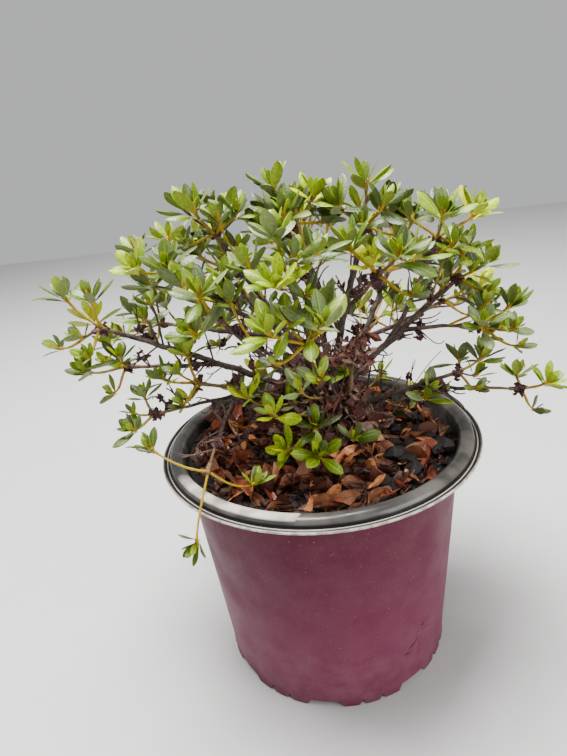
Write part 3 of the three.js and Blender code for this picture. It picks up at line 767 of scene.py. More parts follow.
# Dead leaves: tone, count, how far they lie to the front, height over the bed, dark and light colour
LITTER = (("dark", 190, 0.1, 1.2, (0.04, 0.014, 0.01), (0.13, 0.046, 0.028)),
          ("red", 90, 0.5, 2.4, (0.12, 0.022, 0.012), (0.36, 0.09, 0.04)),
          ("brown", 100, 0.5, 2.4, (0.13, 0.04, 0.018), (0.3, 0.12, 0.055)),
          ("orange", 76, 0.8, 3.4, (0.34, 0.085, 0.028), (0.85, 0.36, 0.14)),
          ("pale", 11, 0.7, 3.4, (0.36, 0.15, 0.06), (0.6, 0.33, 0.16)))
BED_RADIUS, BED_SIDES, BED_ROWS = 118, 150, 46
TRUNK_ROOM = 17  # nothing loose lies nearer to the middle of the trunk
CHUNK_X, CHUNK_SHARE = 50, 0.6  # right of this many black chips are larger chunks


def mix_height(x, y):
    """The height of the bed of mix, which rises towards the trunk."""
    radius = math.hypot(x, y)
    rise = 1 - smooth_step(MIX_SEAT, BED_RADIUS * 0.9, radius)
    lumps = 2.0 * noise.noise(Vector((x / 20, y / 20, 3))) + 1.0 * noise.noise(Vector((x / 6, y / 6, 9)))
    seat = smooth_step(12, 30, math.hypot(x - TRUNK_X, y - TRUNK_Y))
    return lerp(MIX_EDGE, MIX_CROWN, rise) + lumps * lerp(0.3, 1, seat)


def settled(corner):
    """A corner of the bed, moved to the mix's height where it lies on top."""
    return Vector((corner.x, corner.y, mix_height(corner.x, corner.y))) if corner.z == MIX_EDGE else corner


def make_bed():
    bed = Shape()
    low_radius = BASE_RADIUS - WALL - CLEARANCE
    profile = [(0, FLOOR + CLEARANCE), (low_radius - 1.5 * WALL, FLOOR + CLEARANCE),
               (low_radius, FLOOR + 2 * WALL), (BED_RADIUS, MIX_EDGE - 4)]
    profile += [(BED_RADIUS * (1 - i / BED_ROWS), MIX_EDGE) for i in range(BED_ROWS)]
    profile.append((0, mix_height(0, 0)))
    add_lathe(bed, profile, BED_SIDES, settled)
    finish = streaked("mix_bed", *MIX_COLOURS["black"], 0.9, 160, 0.6)
    bed.piece("mix_bed", "bark_mix", [finish], replaced=["bark_mix"], crease=80)


def chip_corners():
    """The corners and faces of a small round body that chips are made from."""
    body = bmesh.new()
    bmesh.ops.create_icosphere(body, subdivisions=1, radius=1)
    corners = np.array([vert.co[:] for vert in body.verts])
    faces = [[vert.index for vert in face.verts] for face in body.faces]
    body.free()
    return corners, faces


def scattered(draw, reach, frontness=0.0):
    """A place on the bed, off the trunk. With frontness more of the draws lie at the front."""
    while True:
        radius = reach * math.sqrt(draw.random())
        turn = 2 * math.pi * draw.random()
        x, y = radius * math.cos(turn), radius * math.sin(turn)
        lean = 0.5 + 0.5 * (0.1 * x - y) / reach
        is_off_trunk = math.hypot(x - TRUNK_X, y - TRUNK_Y) > TRUNK_ROOM
        if is_off_trunk and draw.random() < lerp(1, lean, frontness):
            return x, y


def laid(draw, x, y, turn, length, spread):
    """The heading of a long piece on the bed, turned along the wall where the piece would reach into it."""
    heading = around(1, turn, draw.gauss(0.12, spread)).normalized()
    if BED_RADIUS - math.hypot(x, y) > length * 0.55:
        return heading
    outward = Vector((x, y, 0)).normalized()
    return (heading - outward * heading.dot(outward)).normalized()


def add_chip(shape, draw, corners, faces, is_black):
    x, y = scattered(draw, BED_RADIUS - 4)
    size = lerp(2.2, 7.5, draw.random() ** 2.2)
    is_chunk = is_black and x > CHUNK_X and draw.random() < CHUNK_SHARE
    if is_chunk:
        size = draw.uniform(6, 11)
    size = min(size, 1.2 * (BED_RADIUS - math.hypot(x, y)))
    height = lerp(0.4, 0.75, draw.random()) if is_chunk else lerp(0.22, 0.5, draw.random())
    scale = np.array([1, lerp(0.45, 0.8, draw.random()), height]) * size
    rough = 1 + 0.28 * np.array([draw.uniform(-1, 1) for _ in corners])[:, None]
    turn = Matrix.Rotation(draw.uniform(0, math.tau), 3, "Z") @ Matrix.Rotation(draw.gauss(0, 0.35), 3, "X")
    turn = turn @ Matrix.Rotation(draw.gauss(0, 0.3), 3, "Y")
    place = np.array([x, y, mix_height(x, y) + (0.6 if is_chunk else 0.25) * size])
    shape.add(place + (corners * rough * scale) @ np.array(turn).T, faces)


def make_chips():
    draw = random.Random("chips")
    corners, faces = chip_corners()
    for tone, (count, _) in LOOSE_BARK.items():
        shape = Shape()
        for _ in range(count):
            add_chip(shape, draw, corners, faces, tone == "black")
        finish = streaked(f"bark_chip_{tone}", *MIX_COLOURS[tone], 0.6, 220, 0.6)
        shape.piece(f"bark_chips_{tone}", "bark_mix", [finish])


def make_shreds():
    draw = random.Random("shreds")
    for tone, (_, count) in LOOSE_BARK.items():
        shape = Shape()
        for _ in range(count):
            x, y = scattered(draw, BED_RADIUS - 4)
            turn = draw.uniform(0, math.tau)
            length = lerp(8, 24, draw.random())
            heading = laid(draw, x, y, turn, length, 0.22)
            blade = Blade(length, lerp(1, 3.4, draw.random() ** 1.5), arch=draw.gauss(0.5, 0.9),
                          fold=draw.uniform(0, 0.9), curl=0, roll=draw.gauss(0, 0.9), thick=0.5)
            root = Vector((x, y, mix_height(x, y) + draw.uniform(0.2, 3.2))) - heading * length / 2
            add_blade(shape, root, heading, UP, blade, strip_outline, FEW_ROWS, 0)
        finish = streaked(f"bark_shred_{tone}", *MIX_COLOURS[tone], 0.7, 260, 0.3)
        shape.piece(f"bark_shreds_{tone}", "bark_mix", [finish], crease=70)


def withered_blade(draw, length):
    """A dead leaf: curled along its edges, cupped and a little twisted."""
    return Blade(length, length * draw.uniform(0.3, 0.46), arch=draw.gauss(0, 0.9),
                 fold=draw.uniform(0, 1), curl=draw.gauss(-0.5, 0.6), wave=draw.uniform(0, 0.3),
                 phase=draw.uniform(0, 6), roll=draw.gauss(0, 0.7), thick=0.4)


def make_dead_leaves():
    draw = random.Random("dead leaves")
    for tone, count, frontness, height, low, high in LITTER:
        shape = Shape()
        for _ in range(count):
            x, y = scattered(draw, BED_RADIUS - 9, frontness)
            turn = draw.uniform(0, math.tau)
            length = lerp(13, 31, draw.random() ** 1.3)
            heading = laid(draw, x, y, turn, length, 0.34)
            middle = Vector((x, y, mix_height(x, y) + height + draw.uniform(-0.8, 2.2)))
            root = middle - heading * length / 2
            add_blade(shape, root, heading, UP, withered_blade(draw, length), pointed_outline)
        upper = streaked(f"dead_leaf_{tone}", shade(low, 0.5), shade(high, 1.15), 0.34, 150, 0.4)
        vein = streaked(f"dead_vein_{tone}", shade(low, 0.6), shade(high, 0.6), 0.55, 130, 0.2)
        under = streaked(f"dead_under_{tone}", shade(low, 1.2), shade(high, 1.1), 0.6, 130, 0.2)
        shape.piece(f"dead_leaves_{tone}", "withered_leaf", [upper, vein, under, vein], crease=70)


# The trunk and boughs

SLENDER, YOUNG_FROM = 3, 0.62  # a bough thinner than this has young, lighter bark from this share on
MEAN_LOBE = math.pi / 10  # the angle at which the root flare has its mean radius
TRUNK_STEPS = 44
BEND_LEVELS = (0, 30, 60)  # where a bough's bends along x, y and z are read from the noise
BEND_LENGTH, BEND_DEPTH = 16, 1.5


def trunk_radius(share, angle):
    flare = FLARE * math.exp(-share * FLARE_FALL)
    return lerp(TRUNK_BASE, TRUNK_TOP, share) + flare * (1 + LOBE_DEPTH * math.cos(FLARE_LOBES * angle))


def bough_radius(bough, share):
    return bough.radius * lerp(1, BOUGH_TAPER, share)


def bough_curve(bough, parent, mass):
    """A bough sets out by its lift and arrives heading for the middle of its mass."""
    start = parent.point(bough.at)
    middle = placed(mass)
    way = middle - start
    length = way.length
    level = Vector((way.x, way.y, 0)).normalized()
    heading = (level * (1 - bough.lift) + UP * bough.lift).normalized()
    first = start + heading * length * BOUGH_SET_OUT
    arrival = (middle - first).normalized()
    end = middle - arrival * mass.spread * BOUGH_ENTRY
    return Curve(start, first, end - arrival * length * BOUGH_ARRIVE, end)


def lay_out_limbs():
    foot = Vector((TRUNK_X, TRUNK_Y, MIX_CROWN + CLEARANCE))
    lean = Vector((TRUNK_LEAN_X, TRUNK_LEAN_Y, TRUNK_HEIGHT))
    curves = {"trunk": Curve(foot, foot + UP * TRUNK_HEIGHT / 2, foot + lean)}
    masses = {mass.name: mass for mass in MASSES}
    for bough in BOUGHS:
        curves[bough.name] = bough_curve(bough, curves[bough.parent], masses[bough.name])
    return curves


def limb_lines(curves):
    """All limbs as short straight lines: their ends and radii."""
    starts, ends, radii = [], [], []
    for name, curve in curves.items():
        bough = next((b for b in BOUGHS if b.name == name), None)
        points = curve.points(LIMB_LINES)
        starts += points[:-1]
        ends += points[1:]
        shares = [i / LIMB_LINES for i in range(LIMB_LINES)]
        radii += [bough_radius(bough, share) if bough else trunk_radius(share, 0) for share in shares]
    return np.array(starts), np.array(ends), np.array(radii)


CURVES = lay_out_limbs()
LINE_STARTS, LINE_ENDS, LINE_RADII = limb_lines(CURVES)
MIDDLES = np.array([placed(mass) for mass in MASSES])
SPREADS = np.array([mass.spread for mass in MASSES])


def bark_relief(name, strength, stretch):
    """A factor on a limb's radius: lengthwise ridges with a few swellings."""
    offset = Vector((random.Random(name).uniform(0, 90), 0, 0))

    def factor(along, angle):
        place = Vector((2.4 * math.cos(angle), 2.4 * math.sin(angle), along / stretch)) + offset
        swelling = 0.5 * noise.noise(Vector((along / 13, 0, 5)) + offset)
        return 1 + strength * (noise.noise(place) + 0.5 * noise.noise(place * 2.3) + swelling)

    return factor


def kinked(curve, steps, name):
    """Points along a curve with the small bends of a grown bough."""
    offset = Vector((0, random.Random(name).uniform(0, 90), 0))
    length = curve.length()
    points = []
    for i in range(steps + 1):
        share = i / steps
        spots = [Vector((length * share / BEND_LENGTH, 0, level)) + offset for level in BEND_LEVELS]
        bend = Vector([noise.noise(spot) for spot in spots])
        points.append(curve.point(share) + bend * BEND_DEPTH * math.sin(math.pi * share))
    return points


def add_trunk(shape):
    relief = bark_relief("trunk", 0.09, 5)

    def factor(along, angle):
        share = min(along / TRUNK_HEIGHT, 1)
        return relief(along, angle) * trunk_radius(share, angle) / trunk_radius(share, MEAN_LOBE)

    radii = [trunk_radius(i / TRUNK_STEPS, MEAN_LOBE) for i in range(TRUNK_STEPS + 1)]
    radii[-1] *= 0.75
    add_tube(shape, CURVES["trunk"].points(TRUNK_STEPS), radii, 30, factor)


def add_bough(shape, bough):
    """A bough with a collar where it leaves its parent."""
    curve = CURVES[bough.name]
    length = curve.length()
    steps = round(length / 2)
    radii = [0.88 * bough_radius(bough, i / steps) * (1 + 0.25 * math.exp(-length * i / steps / 5))
             for i in range(steps + 1)]
    young_from = YOUNG_FROM if bough.radius < SLENDER else 1
    relief = bark_relief(bough.name, 0.16, 5)
    add_tube(shape, kinked(curve, steps, bough.name), radii, 12, relief, young_from)


def bark_finish():
    """Fine dark ridges with grey patches."""
    finish = Finish("bark", 0.75, 0.3)
    ridges = finish.noise(420, 5, 0.6)
    grey = finish.steps(finish.noise(60, 4), 0.5, 0.72, 0, 0.5)
    bark = finish.ramp(ridges, (0.35, (0.022, 0.013, 0.011)), (0.65, (0.1, 0.065, 0.052)))
    finish.colour(finish.mix(grey, bark, (0.15, 0.12, 0.095)))
    finish.relief(ridges, 0.5)
    return finish.material


def make_wood():
    """The trunk, boughs and woody stems in one piece, with the bark's relief."""
    shape = Shape()
    add_trunk(shape)
    for bough in BOUGHS:
        add_bough(shape, bough)
    for mass in MASSES:
        add_stem(shape, mass)
    young = streaked("young_bark", (0.05, 0.028, 0.014), (0.24, 0.15, 0.065), 0.65, 300, 0.3)
    limbs = ["trunk"] + [f"bough_{bough.name}" for bough in BOUGHS]
    shape.piece("trunk_and_boughs", "bark", [bark_finish(), young], replaced=limbs, crease=80)


# The foliage. Stems and shoots follow the part's rule; finer shoots and leaves are added to them.

FINE_SHOOTS = 3  # finer shoots from a mass's knot, between its main ones
LONG_SHOOTS = 5  # long shoots to a mass from its bough
AIRY_HEIGHT, AIRY_SHARE = 320, 0.75  # a mass lower than this has only this share of both
LOWEST_TIP = 0.35  # a tip is low if it is further below its mass's middle than this share of its spread
CROWDED = 15  # a finer shoot is left out where its tip is nearer than this to another tip
LEAF_LENGTH = 29
DROOP = -0.3  # a leaf that heads further down than this has been shed
# Each kind of shoot: its leaves, their size and the shoot's radius
SHOOT_KINDS = {"main": (11, 1, SHOOT_RADIUS), "low": (7, 0.7, SHOOT_RADIUS),
               "trailing": (8, 1, SHOOT_RADIUS * 0.75), "fine": (8, 0.8, NECK_RADIUS),
               "long": (9, 0.92, SHOOT_RADIUS * 0.9)}
SPROUT_LEAVES, SPROUT_RADIUS = 7, 0.9
SPROUT_FOOT, SPROUT_RANGE = 225, 60  # the higher its tip is over the foot, the higher a sprout starts
TINT_WEIGHTS = {"gold": 0.6, "olive": 0.3, "brown": 0.1}
SPROUTS = (Tip(301, 53, 230, 0.4), Tip(220, 24, 255, 0.8), Tip(236, 62, 262, 0.7), Tip(214, 66, 272, 0.8),
           Tip(258, 52, 281, 0.8), Tip(13, 31, 265, 0.9), Tip(21, 65, 255, 0.6),
           Tip(190, 63, 270, 0.7), Tip(179, 41, 275, 0.8), Tip(299, 14, 268, 0.8), Tip(150, 55, 250, 0.6),
           Tip(95, 52, 246, 0.6), Tip(60, 60, 262, 0.7), Tip(122, 38, 268, 0.8))


@dataclass
class Shoot:
    """A leafy shoot: its curve, its mass, how many leaves it has, their size and its thickness."""

    curve: Curve
    mass: Mass
    leaves: int
    size: float
    radius: float


def shoot_of(kind, curve, mass):
    leaves, size, radius = SHOOT_KINDS[kind]
    return Shoot(curve, mass, leaves, size * mass.leaf_size, radius)


def is_in_cell(index, points):
    """True where the points are nearer to this mass than to any other. Larger masses reach further."""
    points = np.array(points).reshape(-1, 3)
    gaps = ((points[:, None] - MIDDLES) ** 2).sum(2)
    weights = SPREADS**2 - SPREADS[index] ** 2
    apart = np.linalg.norm(MIDDLES - MIDDLES[index], axis=1)
    lead = gaps - gaps[:, index : index + 1] - weights
    is_ahead = lead > 2 * apart * CELL_MARGIN
    is_ahead[:, index] = True
    return bool(is_ahead.all())


def is_off_pot(point, margin=1, floor=None):
    """True over the rim, outside it, or inside the throat and above the mix or the floor given."""
    radius = math.hypot(point[0], point[1])
    if point[2] > ROLL_HEIGHT + margin or radius > LIP_RADIUS + margin:
        return True
    level = mix_height(point[0], point[1]) if floor is None else floor
    return radius < THROAT_RADIUS - 3 * margin and point[2] > level + 1


def limb_gap(start, end):
    """The least space between a straight stretch and the surface of any limb."""
    p, d = np.array(start), np.array(end) - np.array(start)
    lines = LINE_ENDS - LINE_STARTS
    off = p - LINE_STARTS
    a = d @ d
    e = (lines**2).sum(1)
    f = (lines * off).sum(1)
    c = off @ d
    b = lines @ d
    spread = a * e - b * b
    s = np.where(spread > 1e-9, np.clip((b * f - c * e) / np.maximum(spread, 1e-9), 0, 1), 0)
    t = (b * s + f) / e
    s = np.where(t < 0, np.clip(-c / a, 0, 1), np.where(t > 1, np.clip((b - c) / a, 0, 1), s))
    t = np.clip(t, 0, 1)
    gaps = np.linalg.norm((p + s[:, None] * d) - (LINE_STARTS + t[:, None] * lines), axis=1)
    return (gaps - LINE_RADII).min()


def is_free(curve, index, radius, first=0):
    """True where a shoot keeps to its mass's cell and off the pot and limbs, from its `first` joint on."""
    joints = curve.points(3)[first:]
    if not is_in_cell(index, joints) or not all(is_off_pot(joint, RIM_MARGIN, MIX_CROWN) for joint in joints):
        return False
    return all(limb_gap(a, b) > radius + LIMB_MARGIN for a, b in zip(joints, joints[1:]))


def shoot_directions(mass, count, draw):
    """Directions in a golden-angle spiral over a cap about the mass's way out of the crown."""
    outward = (placed(mass) - Vector((0, 0, CROWN_MIDDLE))).normalized()
    outward = (outward + UP * UPWARD).normalized()
    turn = Vector((0, 1, 0)).rotation_difference(outward)
    phase = draw() * 2 * math.pi
    directions = []
    for order in range(count):
        share = math.sqrt((order + FIRST_SHARE) / count)
        polar = math.radians(CAP_ANGLE) * share + (draw() - 0.5) * POLAR_SPREAD
        azimuth = phase + order * GOLDEN_ANGLE + (draw() - 0.5) * TURN_SPREAD
        ring = math.sin(polar)
        aim = Vector((ring * math.sin(azimuth), math.cos(polar), ring * math.cos(azimuth)))
        directions.append(turn @ aim)
    return directions


def shoot_curve(start, tip, stem_heading, rise):
    way = (tip - start).normalized()
    handle = (tip - start).length * HANDLE
    heading = (way * 0.75 + stem_heading * 0.25).normalized()
    arrival = (way * 0.7 + UP * rise).normalized()
    return Curve(start, start + heading * handle, tip - arrival * handle, tip)


def stem_start(mass):
    if not mass.on_trunk:
        curve = CURVES[mass.name]
        heading = curve.heading(1)
        return curve.point(1) + heading * CLEARANCE, heading
    inside = CURVES["trunk"].point(mass.on_trunk)
    middle = placed(mass)
    heading = Vector((middle.x - inside.x, middle.y - inside.y, 0)).normalized()
    return inside + heading * (trunk_radius(mass.on_trunk, 0) + CLEARANCE), heading


def stem_of(mass):
    """The stem's curve from the limb to the knot, and the knot's way on."""
    start, heading = stem_start(mass)
    onward = (placed(mass) - start).normalized()
    knot = placed(mass) - onward * mass.spread * KNOT_SETBACK
    bend = start + heading * (knot - start).length / 2
    return Curve(start, bend, knot), onward


def add_stem(shape, mass):
    """The woody stem, which starts inside its limb and swells into the knot at its end."""
    curve, _ = stem_of(mass)
    steps = 14
    points = [curve.point(0) - curve.heading(0) * 3] + curve.points(steps)
    points.append(points[-1] + curve.heading(1) * 2.6)
    radii = [STEM_RADIUS * 0.9] * 2 + [STEM_RADIUS] * (steps - 2)
    radii += [STEM_RADIUS * 1.15, KNOT_RADIUS * 0.7, KNOT_RADIUS * 0.35]
    add_tube(shape, points, radii, 10, bark_relief("stem " + mass.name, 0.22, 3), young_from=0)


def is_low(tip, mass):
    return tip.z < mass.height - LOWEST_TIP * mass.spread


def grow_main_shoots(index, mass, knot, onward):
    """The shoots that the part's own solids have."""
    seed = GROWTH_SEED * (index + 1)
    shoots = []
    for order, direction in enumerate(shoot_directions(mass, mass.shoots, seeded(seed))):
        draw = seeded(seed + order + 1)
        fixed = mass.tips[order] if mass.tips else None
        full_length = mass.spread * (SHORTEST + LENGTH_SPREAD * draw())
        for reach in REACHES:
            tip = placed(fixed) if fixed else placed(mass) + direction * full_length * reach
            curve = shoot_curve(knot, tip, onward, fixed.rise if fixed else mass.rise)
            if is_free(curve, index, SHOOT_RADIUS):
                kind = "trailing" if fixed else "low" if is_low(tip, mass) else "main"
                shoots.append(shoot_of(kind, curve, mass))
                break
    return shoots


def is_crowded(tip, shoots):
    return any((tip - shoot.curve.point(1)).length < CROWDED for shoot in shoots)


def grow_fine_shoots(index, mass, knot, onward, shoots, draw):
    """Adds finer shoots from the knot and long ones from the bough, where the others leave room."""
    share_kept = 1 if mass.height > AIRY_HEIGHT else AIRY_SHARE

    def grow(kind, start, tip, heading, first_joint=0):
        curve = shoot_curve(start, tip, heading, mass.rise)
        is_wanted = not is_low(tip, mass) and not is_crowded(tip, shoots)
        if is_wanted and is_free(curve, index, NECK_RADIUS, first_joint):
            shoots.append(shoot_of(kind, curve, mass))

    for direction in shoot_directions(mass, round(FINE_SHOOTS * share_kept), draw.random):
        tip = placed(mass) + direction * mass.spread * draw.uniform(0.4, 0.9)
        grow("fine", knot, tip, onward)
    if mass.on_trunk:
        return
    bough = CURVES[mass.name]
    for direction in shoot_directions(mass, round(LONG_SHOOTS * share_kept), draw.random):
        share = draw.uniform(0.5, 0.96)
        tip = placed(mass) + direction * mass.spread * draw.uniform(0.55, 1.0)
        heading = (bough.heading(share) + UP * 0.8).normalized()
        grow("long", bough.point(share), tip, heading, first_joint=2)


def add_shoot(shape, shoot):
    """A bare shoot with faint leaf scars, which swells into a bud."""
    steps = max(8, round(shoot.curve.length() / 3))
    points = shoot.curve.points(steps)
    points.append(points[-1] + shoot.curve.heading(1) * 2)
    radii = [0.88 * lerp(shoot.radius, shoot.radius * 0.75, i / steps) * (1.18 if i % 3 == 1 else 1)
             for i in range(steps - 2)]
    radii += [1.3 * shoot.size, 1.9 * shoot.size, 1.7 * shoot.size, 0.5]
    add_tube(shape, points, radii, 7)


def add_twig(shape, curve, radius):
    steps = max(5, round(curve.length() / 4))
    radii = [lerp(radius, radius * 0.55, i / steps) * (1.2 if i % 3 == 2 else 1) for i in range(steps + 1)]
    add_tube(shape, curve.points(steps), radii, 6)


# The crown's other pieces: name, slot, and its finish's name, dark, light, roughness, scale and relief
CROWN_LOOKS = (
    ("shoots_gold", "leaf", ("young_shoot_gold", (0.26, 0.155, 0.0), (0.47, 0.315, 0.0), 0.55, 300, 0.2)),
    ("shoots_olive", "leaf", ("young_shoot_olive", (0.17, 0.13, 0.018), (0.38, 0.29, 0.045), 0.5, 300, 0.2)),
    ("shoots_brown", "bark", ("shoot_brown", (0.07, 0.035, 0.018), (0.22, 0.13, 0.06), 0.6, 300, 0.2)),
    ("bud_scales", "leaf", ("bud_scale", (0.36, 0.18, 0.02), (0.68, 0.48, 0.05), 0.5, 400, 0.15)),
    ("dried_bracts", "withered_leaf",
     ("dried_bract", (0.022, 0.008, 0.01), (0.13, 0.05, 0.052), 0.7, 260, 0.3)),
    ("old_twigs", "bark", ("old_twig", (0.035, 0.02, 0.014), (0.13, 0.08, 0.05), 0.7, 300, 0.25)),
)
# The colours of the leaves, from the darkest to the yellowest: upper side, base and midrib, and underside
LEAF_TONES = {
    "deep": ((0.03, 0.052, 0.002), (0.13, 0.15, 0.01), (0.1, 0.145, 0.025)),
    "green": ((0.07, 0.118, 0.003), (0.2, 0.24, 0.012), (0.15, 0.2, 0.03)),
    # The grey tone is the leaves' green with a painted grey sheen of reflected sky mixed into its colours
    "grey": ((0.13, 0.175, 0.055), (0.24, 0.28, 0.05), (0.19, 0.24, 0.07)),
    "fresh": ((0.18, 0.28, 0.002), (0.48, 0.5, 0.01), (0.27, 0.35, 0.02)),
    "lime": ((0.29, 0.41, 0.0), (0.56, 0.56, 0.005), (0.36, 0.45, 0.01)),
    "yellow": ((0.44, 0.5, 0.0), (0.5, 0.52, 0.005), (0.42, 0.46, 0.01)),
}
TONES = list(LEAF_TONES)
BRIGHT_TONES = ("lime", "yellow")
# How likely each tone is in a plain and in a yellow spray
PLAIN_WEIGHTS = (0.31, 0.33, 0.17, 0.13, 0.06, 0)
YELLOW_WEIGHTS = (0, 0.12, 0.04, 0.34, 0.3, 0.2)
STALK_COLOUR = (0.6, 0.43, 0.02)
BUD_SCALES, LEAF_MARGIN = 5, 0.3
OPENNESS, TRAILING_OPENNESS = (42, 74), (40, 55)  # how far the outermost leaves lean out, in degrees
INNER_LEAN, INNER_LENGTH = 10, 0.46  # the innermost leaf's lean, and its length as a share of the outermost's
LENGTH_RANGE, WIDTH_RANGE = (0.82, 1.14), (0.34, 0.45)


def pick_tone(draw, mass):
    weights = YELLOW_WEIGHTS if draw.random() < mass.yellow else PLAIN_WEIGHTS
    return draw.choices(range(len(TONES)), weights)[0]


def leaf_tone(draw, spray_tone, inner):
    """The tone of one leaf: its spray's own, and fresher in the heart of the whorl."""
    fresh, lime = TONES.index("fresh"), TONES.index("lime")
    if inner > 0.65 and spray_tone < fresh:
        return fresh if draw.random() < 0.75 else lime
    nudged = spray_tone + draw.choice((-1, 0, 0, 0, 1))
    limit = fresh if spray_tone <= fresh else len(TONES) - 1
    return min(max(nudged, 0), limit)


class Crown:
    """The crown's shapes, one for each look."""

    def __init__(self):
        self.leaves = {tone: Shape() for tone in TONES}
        self.shoots = {tint: Shape() for tint in TINT_WEIGHTS}
        self.scales = Shape()
        self.remains = Shape()
        self.twigs = Shape()


def add_whorl(crown, shoot, draw):
    """The whorl of leaves round a shoot's tip: long ones that lean out below, short upright ones inside."""
    tip = shoot.curve.point(1)
    is_trailing = bool(shoot.mass.tips)
    axis = (shoot.curve.heading(1) + UP * (0.9 if is_trailing else 0.6)).normalized()
    across = perpendicular(axis)
    other = axis.cross(across)
    phase = draw.uniform(0, math.tau)
    spray_tone = pick_tone(draw, shoot.mass)
    openness = draw.uniform(*(TRAILING_OPENNESS if is_trailing else OPENNESS))
    count = shoot.leaves + draw.choice((-1, 0, 0, 1))
    for order in range(count):
        inner = order / (count - 1)
        lean = math.radians(lerp(openness, INNER_LEAN, inner**0.9) + draw.gauss(0, 8))
        spoke = spoke_at(across, other, phase + order * GOLDEN_ANGLE + draw.gauss(0, 0.15))
        heading = (axis * math.cos(lean) + spoke * math.sin(lean)).normalized()
        length = LEAF_LENGTH * shoot.size * lerp(1, INNER_LENGTH, inner**1.5) * draw.uniform(*LENGTH_RANGE)
        width = length * draw.uniform(*WIDTH_RANGE)
        root = tip - axis * lerp(7, 0, inner) * shoot.size
        blade = Blade(length, width, arch=draw.gauss(lerp(0.45, -0.2, inner), 0.22),
                      fold=draw.uniform(0, 0.35), curl=draw.uniform(0.15, 0.55),
                      bulge=draw.uniform(0.05, 0.2), wave=draw.uniform(0, 0.08),
                      phase=draw.uniform(0, 6), roll=draw.gauss(0, 0.2))
        end = root + heading * length
        middle = root + heading * length * 0.5
        is_shed = heading.z < DROOP and not is_trailing
        if not is_shed and is_off_pot(end) and is_off_pot(middle) and limb_gap(middle, end) > LEAF_MARGIN:
            tone = TONES[leaf_tone(draw, spray_tone, inner)]
            add_blade(crown.leaves[tone], root, heading, axis, blade)
    for order in range(BUD_SCALES):
        spoke = spoke_at(across, other, phase + (order + 0.5) * GOLDEN_ANGLE * 1.3)
        heading = (axis + spoke * draw.uniform(0.3, 0.8)).normalized()
        blade = Blade(draw.uniform(7, 13) * shoot.size, 3.6 * shoot.size, arch=-0.3, fold=0.3, curl=0.3)
        root = tip - axis * draw.uniform(2, 5) * shoot.size
        add_blade(crown.scales, root, heading, axis, blade, strip_outline, FEW_ROWS, 0)


def add_remains(shape, knot, onward, draw, count, size):
    """A crumpled bunch of dark bracts and old flower parts that clings round a knot."""
    for _ in range(count):
        aside = Vector((draw.gauss(0, 1), draw.gauss(0, 1), draw.gauss(0, 1)))
        heading = Vector((draw.gauss(0, 1), draw.gauss(0, 1), draw.gauss(0, 1))) + onward * 0.4
        heading.normalize()
        length = draw.uniform(4, 8) * size
        blade = Blade(length, length * draw.uniform(0.4, 0.8), arch=draw.gauss(0.4, 1.5),
                      fold=draw.uniform(0.2, 1.2), curl=draw.uniform(-0.8, 0.8), wave=0.4,
                      phase=draw.uniform(0, 6), roll=draw.uniform(-3, 3))
        root = knot + aside * 1.6 * size - heading * length / 2
        if is_off_pot(knot + heading * length):
            add_blade(shape, root, heading, perpendicular(heading), blade, strip_outline, FEW_ROWS, 0)


LOWEST_REMAINS = 252  # twigs lower than this carry no old flower parts
TWIG_SPACING, FORKED_SHARE, REMAINS_SHARE = 12, 0.5, 0.5
TWIG_REMAINS, KNOT_REMAINS = (4, 7, 11), (8, 13, 18)


def make_old_twigs(crown):
    """Thin leafless twigs along the boughs, some of which fork or carry old flower parts."""
    draw = random.Random("old twigs")
    for bough in BOUGHS:
        curve = CURVES[bough.name]
        for _ in range(round(curve.length() / TWIG_SPACING)):
            share = draw.uniform(0.1, 0.85)
            heading = curve.heading(share)
            aside = perpendicular(heading)
            spoke = turned_about(aside, heading, draw.uniform(0, math.tau))
            start = curve.point(share)
            tip = start + (heading * 0.7 + spoke + UP * 0.3).normalized() * draw.uniform(12, 34)
            twig = shoot_curve(start, tip, (spoke + heading * 0.4).normalized(), draw.uniform(-0.9, 1.1))
            if not is_off_pot(tip) or limb_gap(twig.point(0.6), tip) < 1:
                continue
            radius = draw.uniform(0.6, 1.0)
            add_twig(crown.twigs, twig, radius)
            if draw.random() < FORKED_SHARE:
                fork = twig.point(0.6)
                side = turned_about(aside, heading, draw.uniform(0, math.tau))
                fork_tip = fork + (twig.heading(0.6) + side).normalized() * draw.uniform(6, 14)
                if is_off_pot(fork_tip):
                    add_twig(crown.twigs, shoot_curve(fork, fork_tip, side, 0.2), radius * 0.8)
            if draw.random() < REMAINS_SHARE and tip.z > LOWEST_REMAINS:
                count, size = draw.choice(TWIG_REMAINS), draw.uniform(0.7, 1.2)
                place = twig.point(draw.uniform(0.3, 0.7))
                add_remains(crown.remains, place, twig.heading(1), draw, count, size)


def make_sprouts(crown, draw):
    """Small leafy sprouts from the trunk, low in the middle of the shrub."""
    mass = next(mass for mass in MASSES if mass.name == "sprout_front")
    for sprout in SPROUTS:
        tip = placed(sprout)
        share = (tip.z - SPROUT_FOOT) / SPROUT_RANGE
        start = CURVES["trunk"].point(min(max(share, 0.05), 0.7))
        curve = shoot_curve(start, tip, UP, sprout.rise)
        shoot = Shoot(curve, mass, SPROUT_LEAVES, draw.uniform(0.75, 1.0), SPROUT_RADIUS)
        add_shoot(crown.shoots["olive"], shoot)
        add_whorl(crown, shoot, draw)


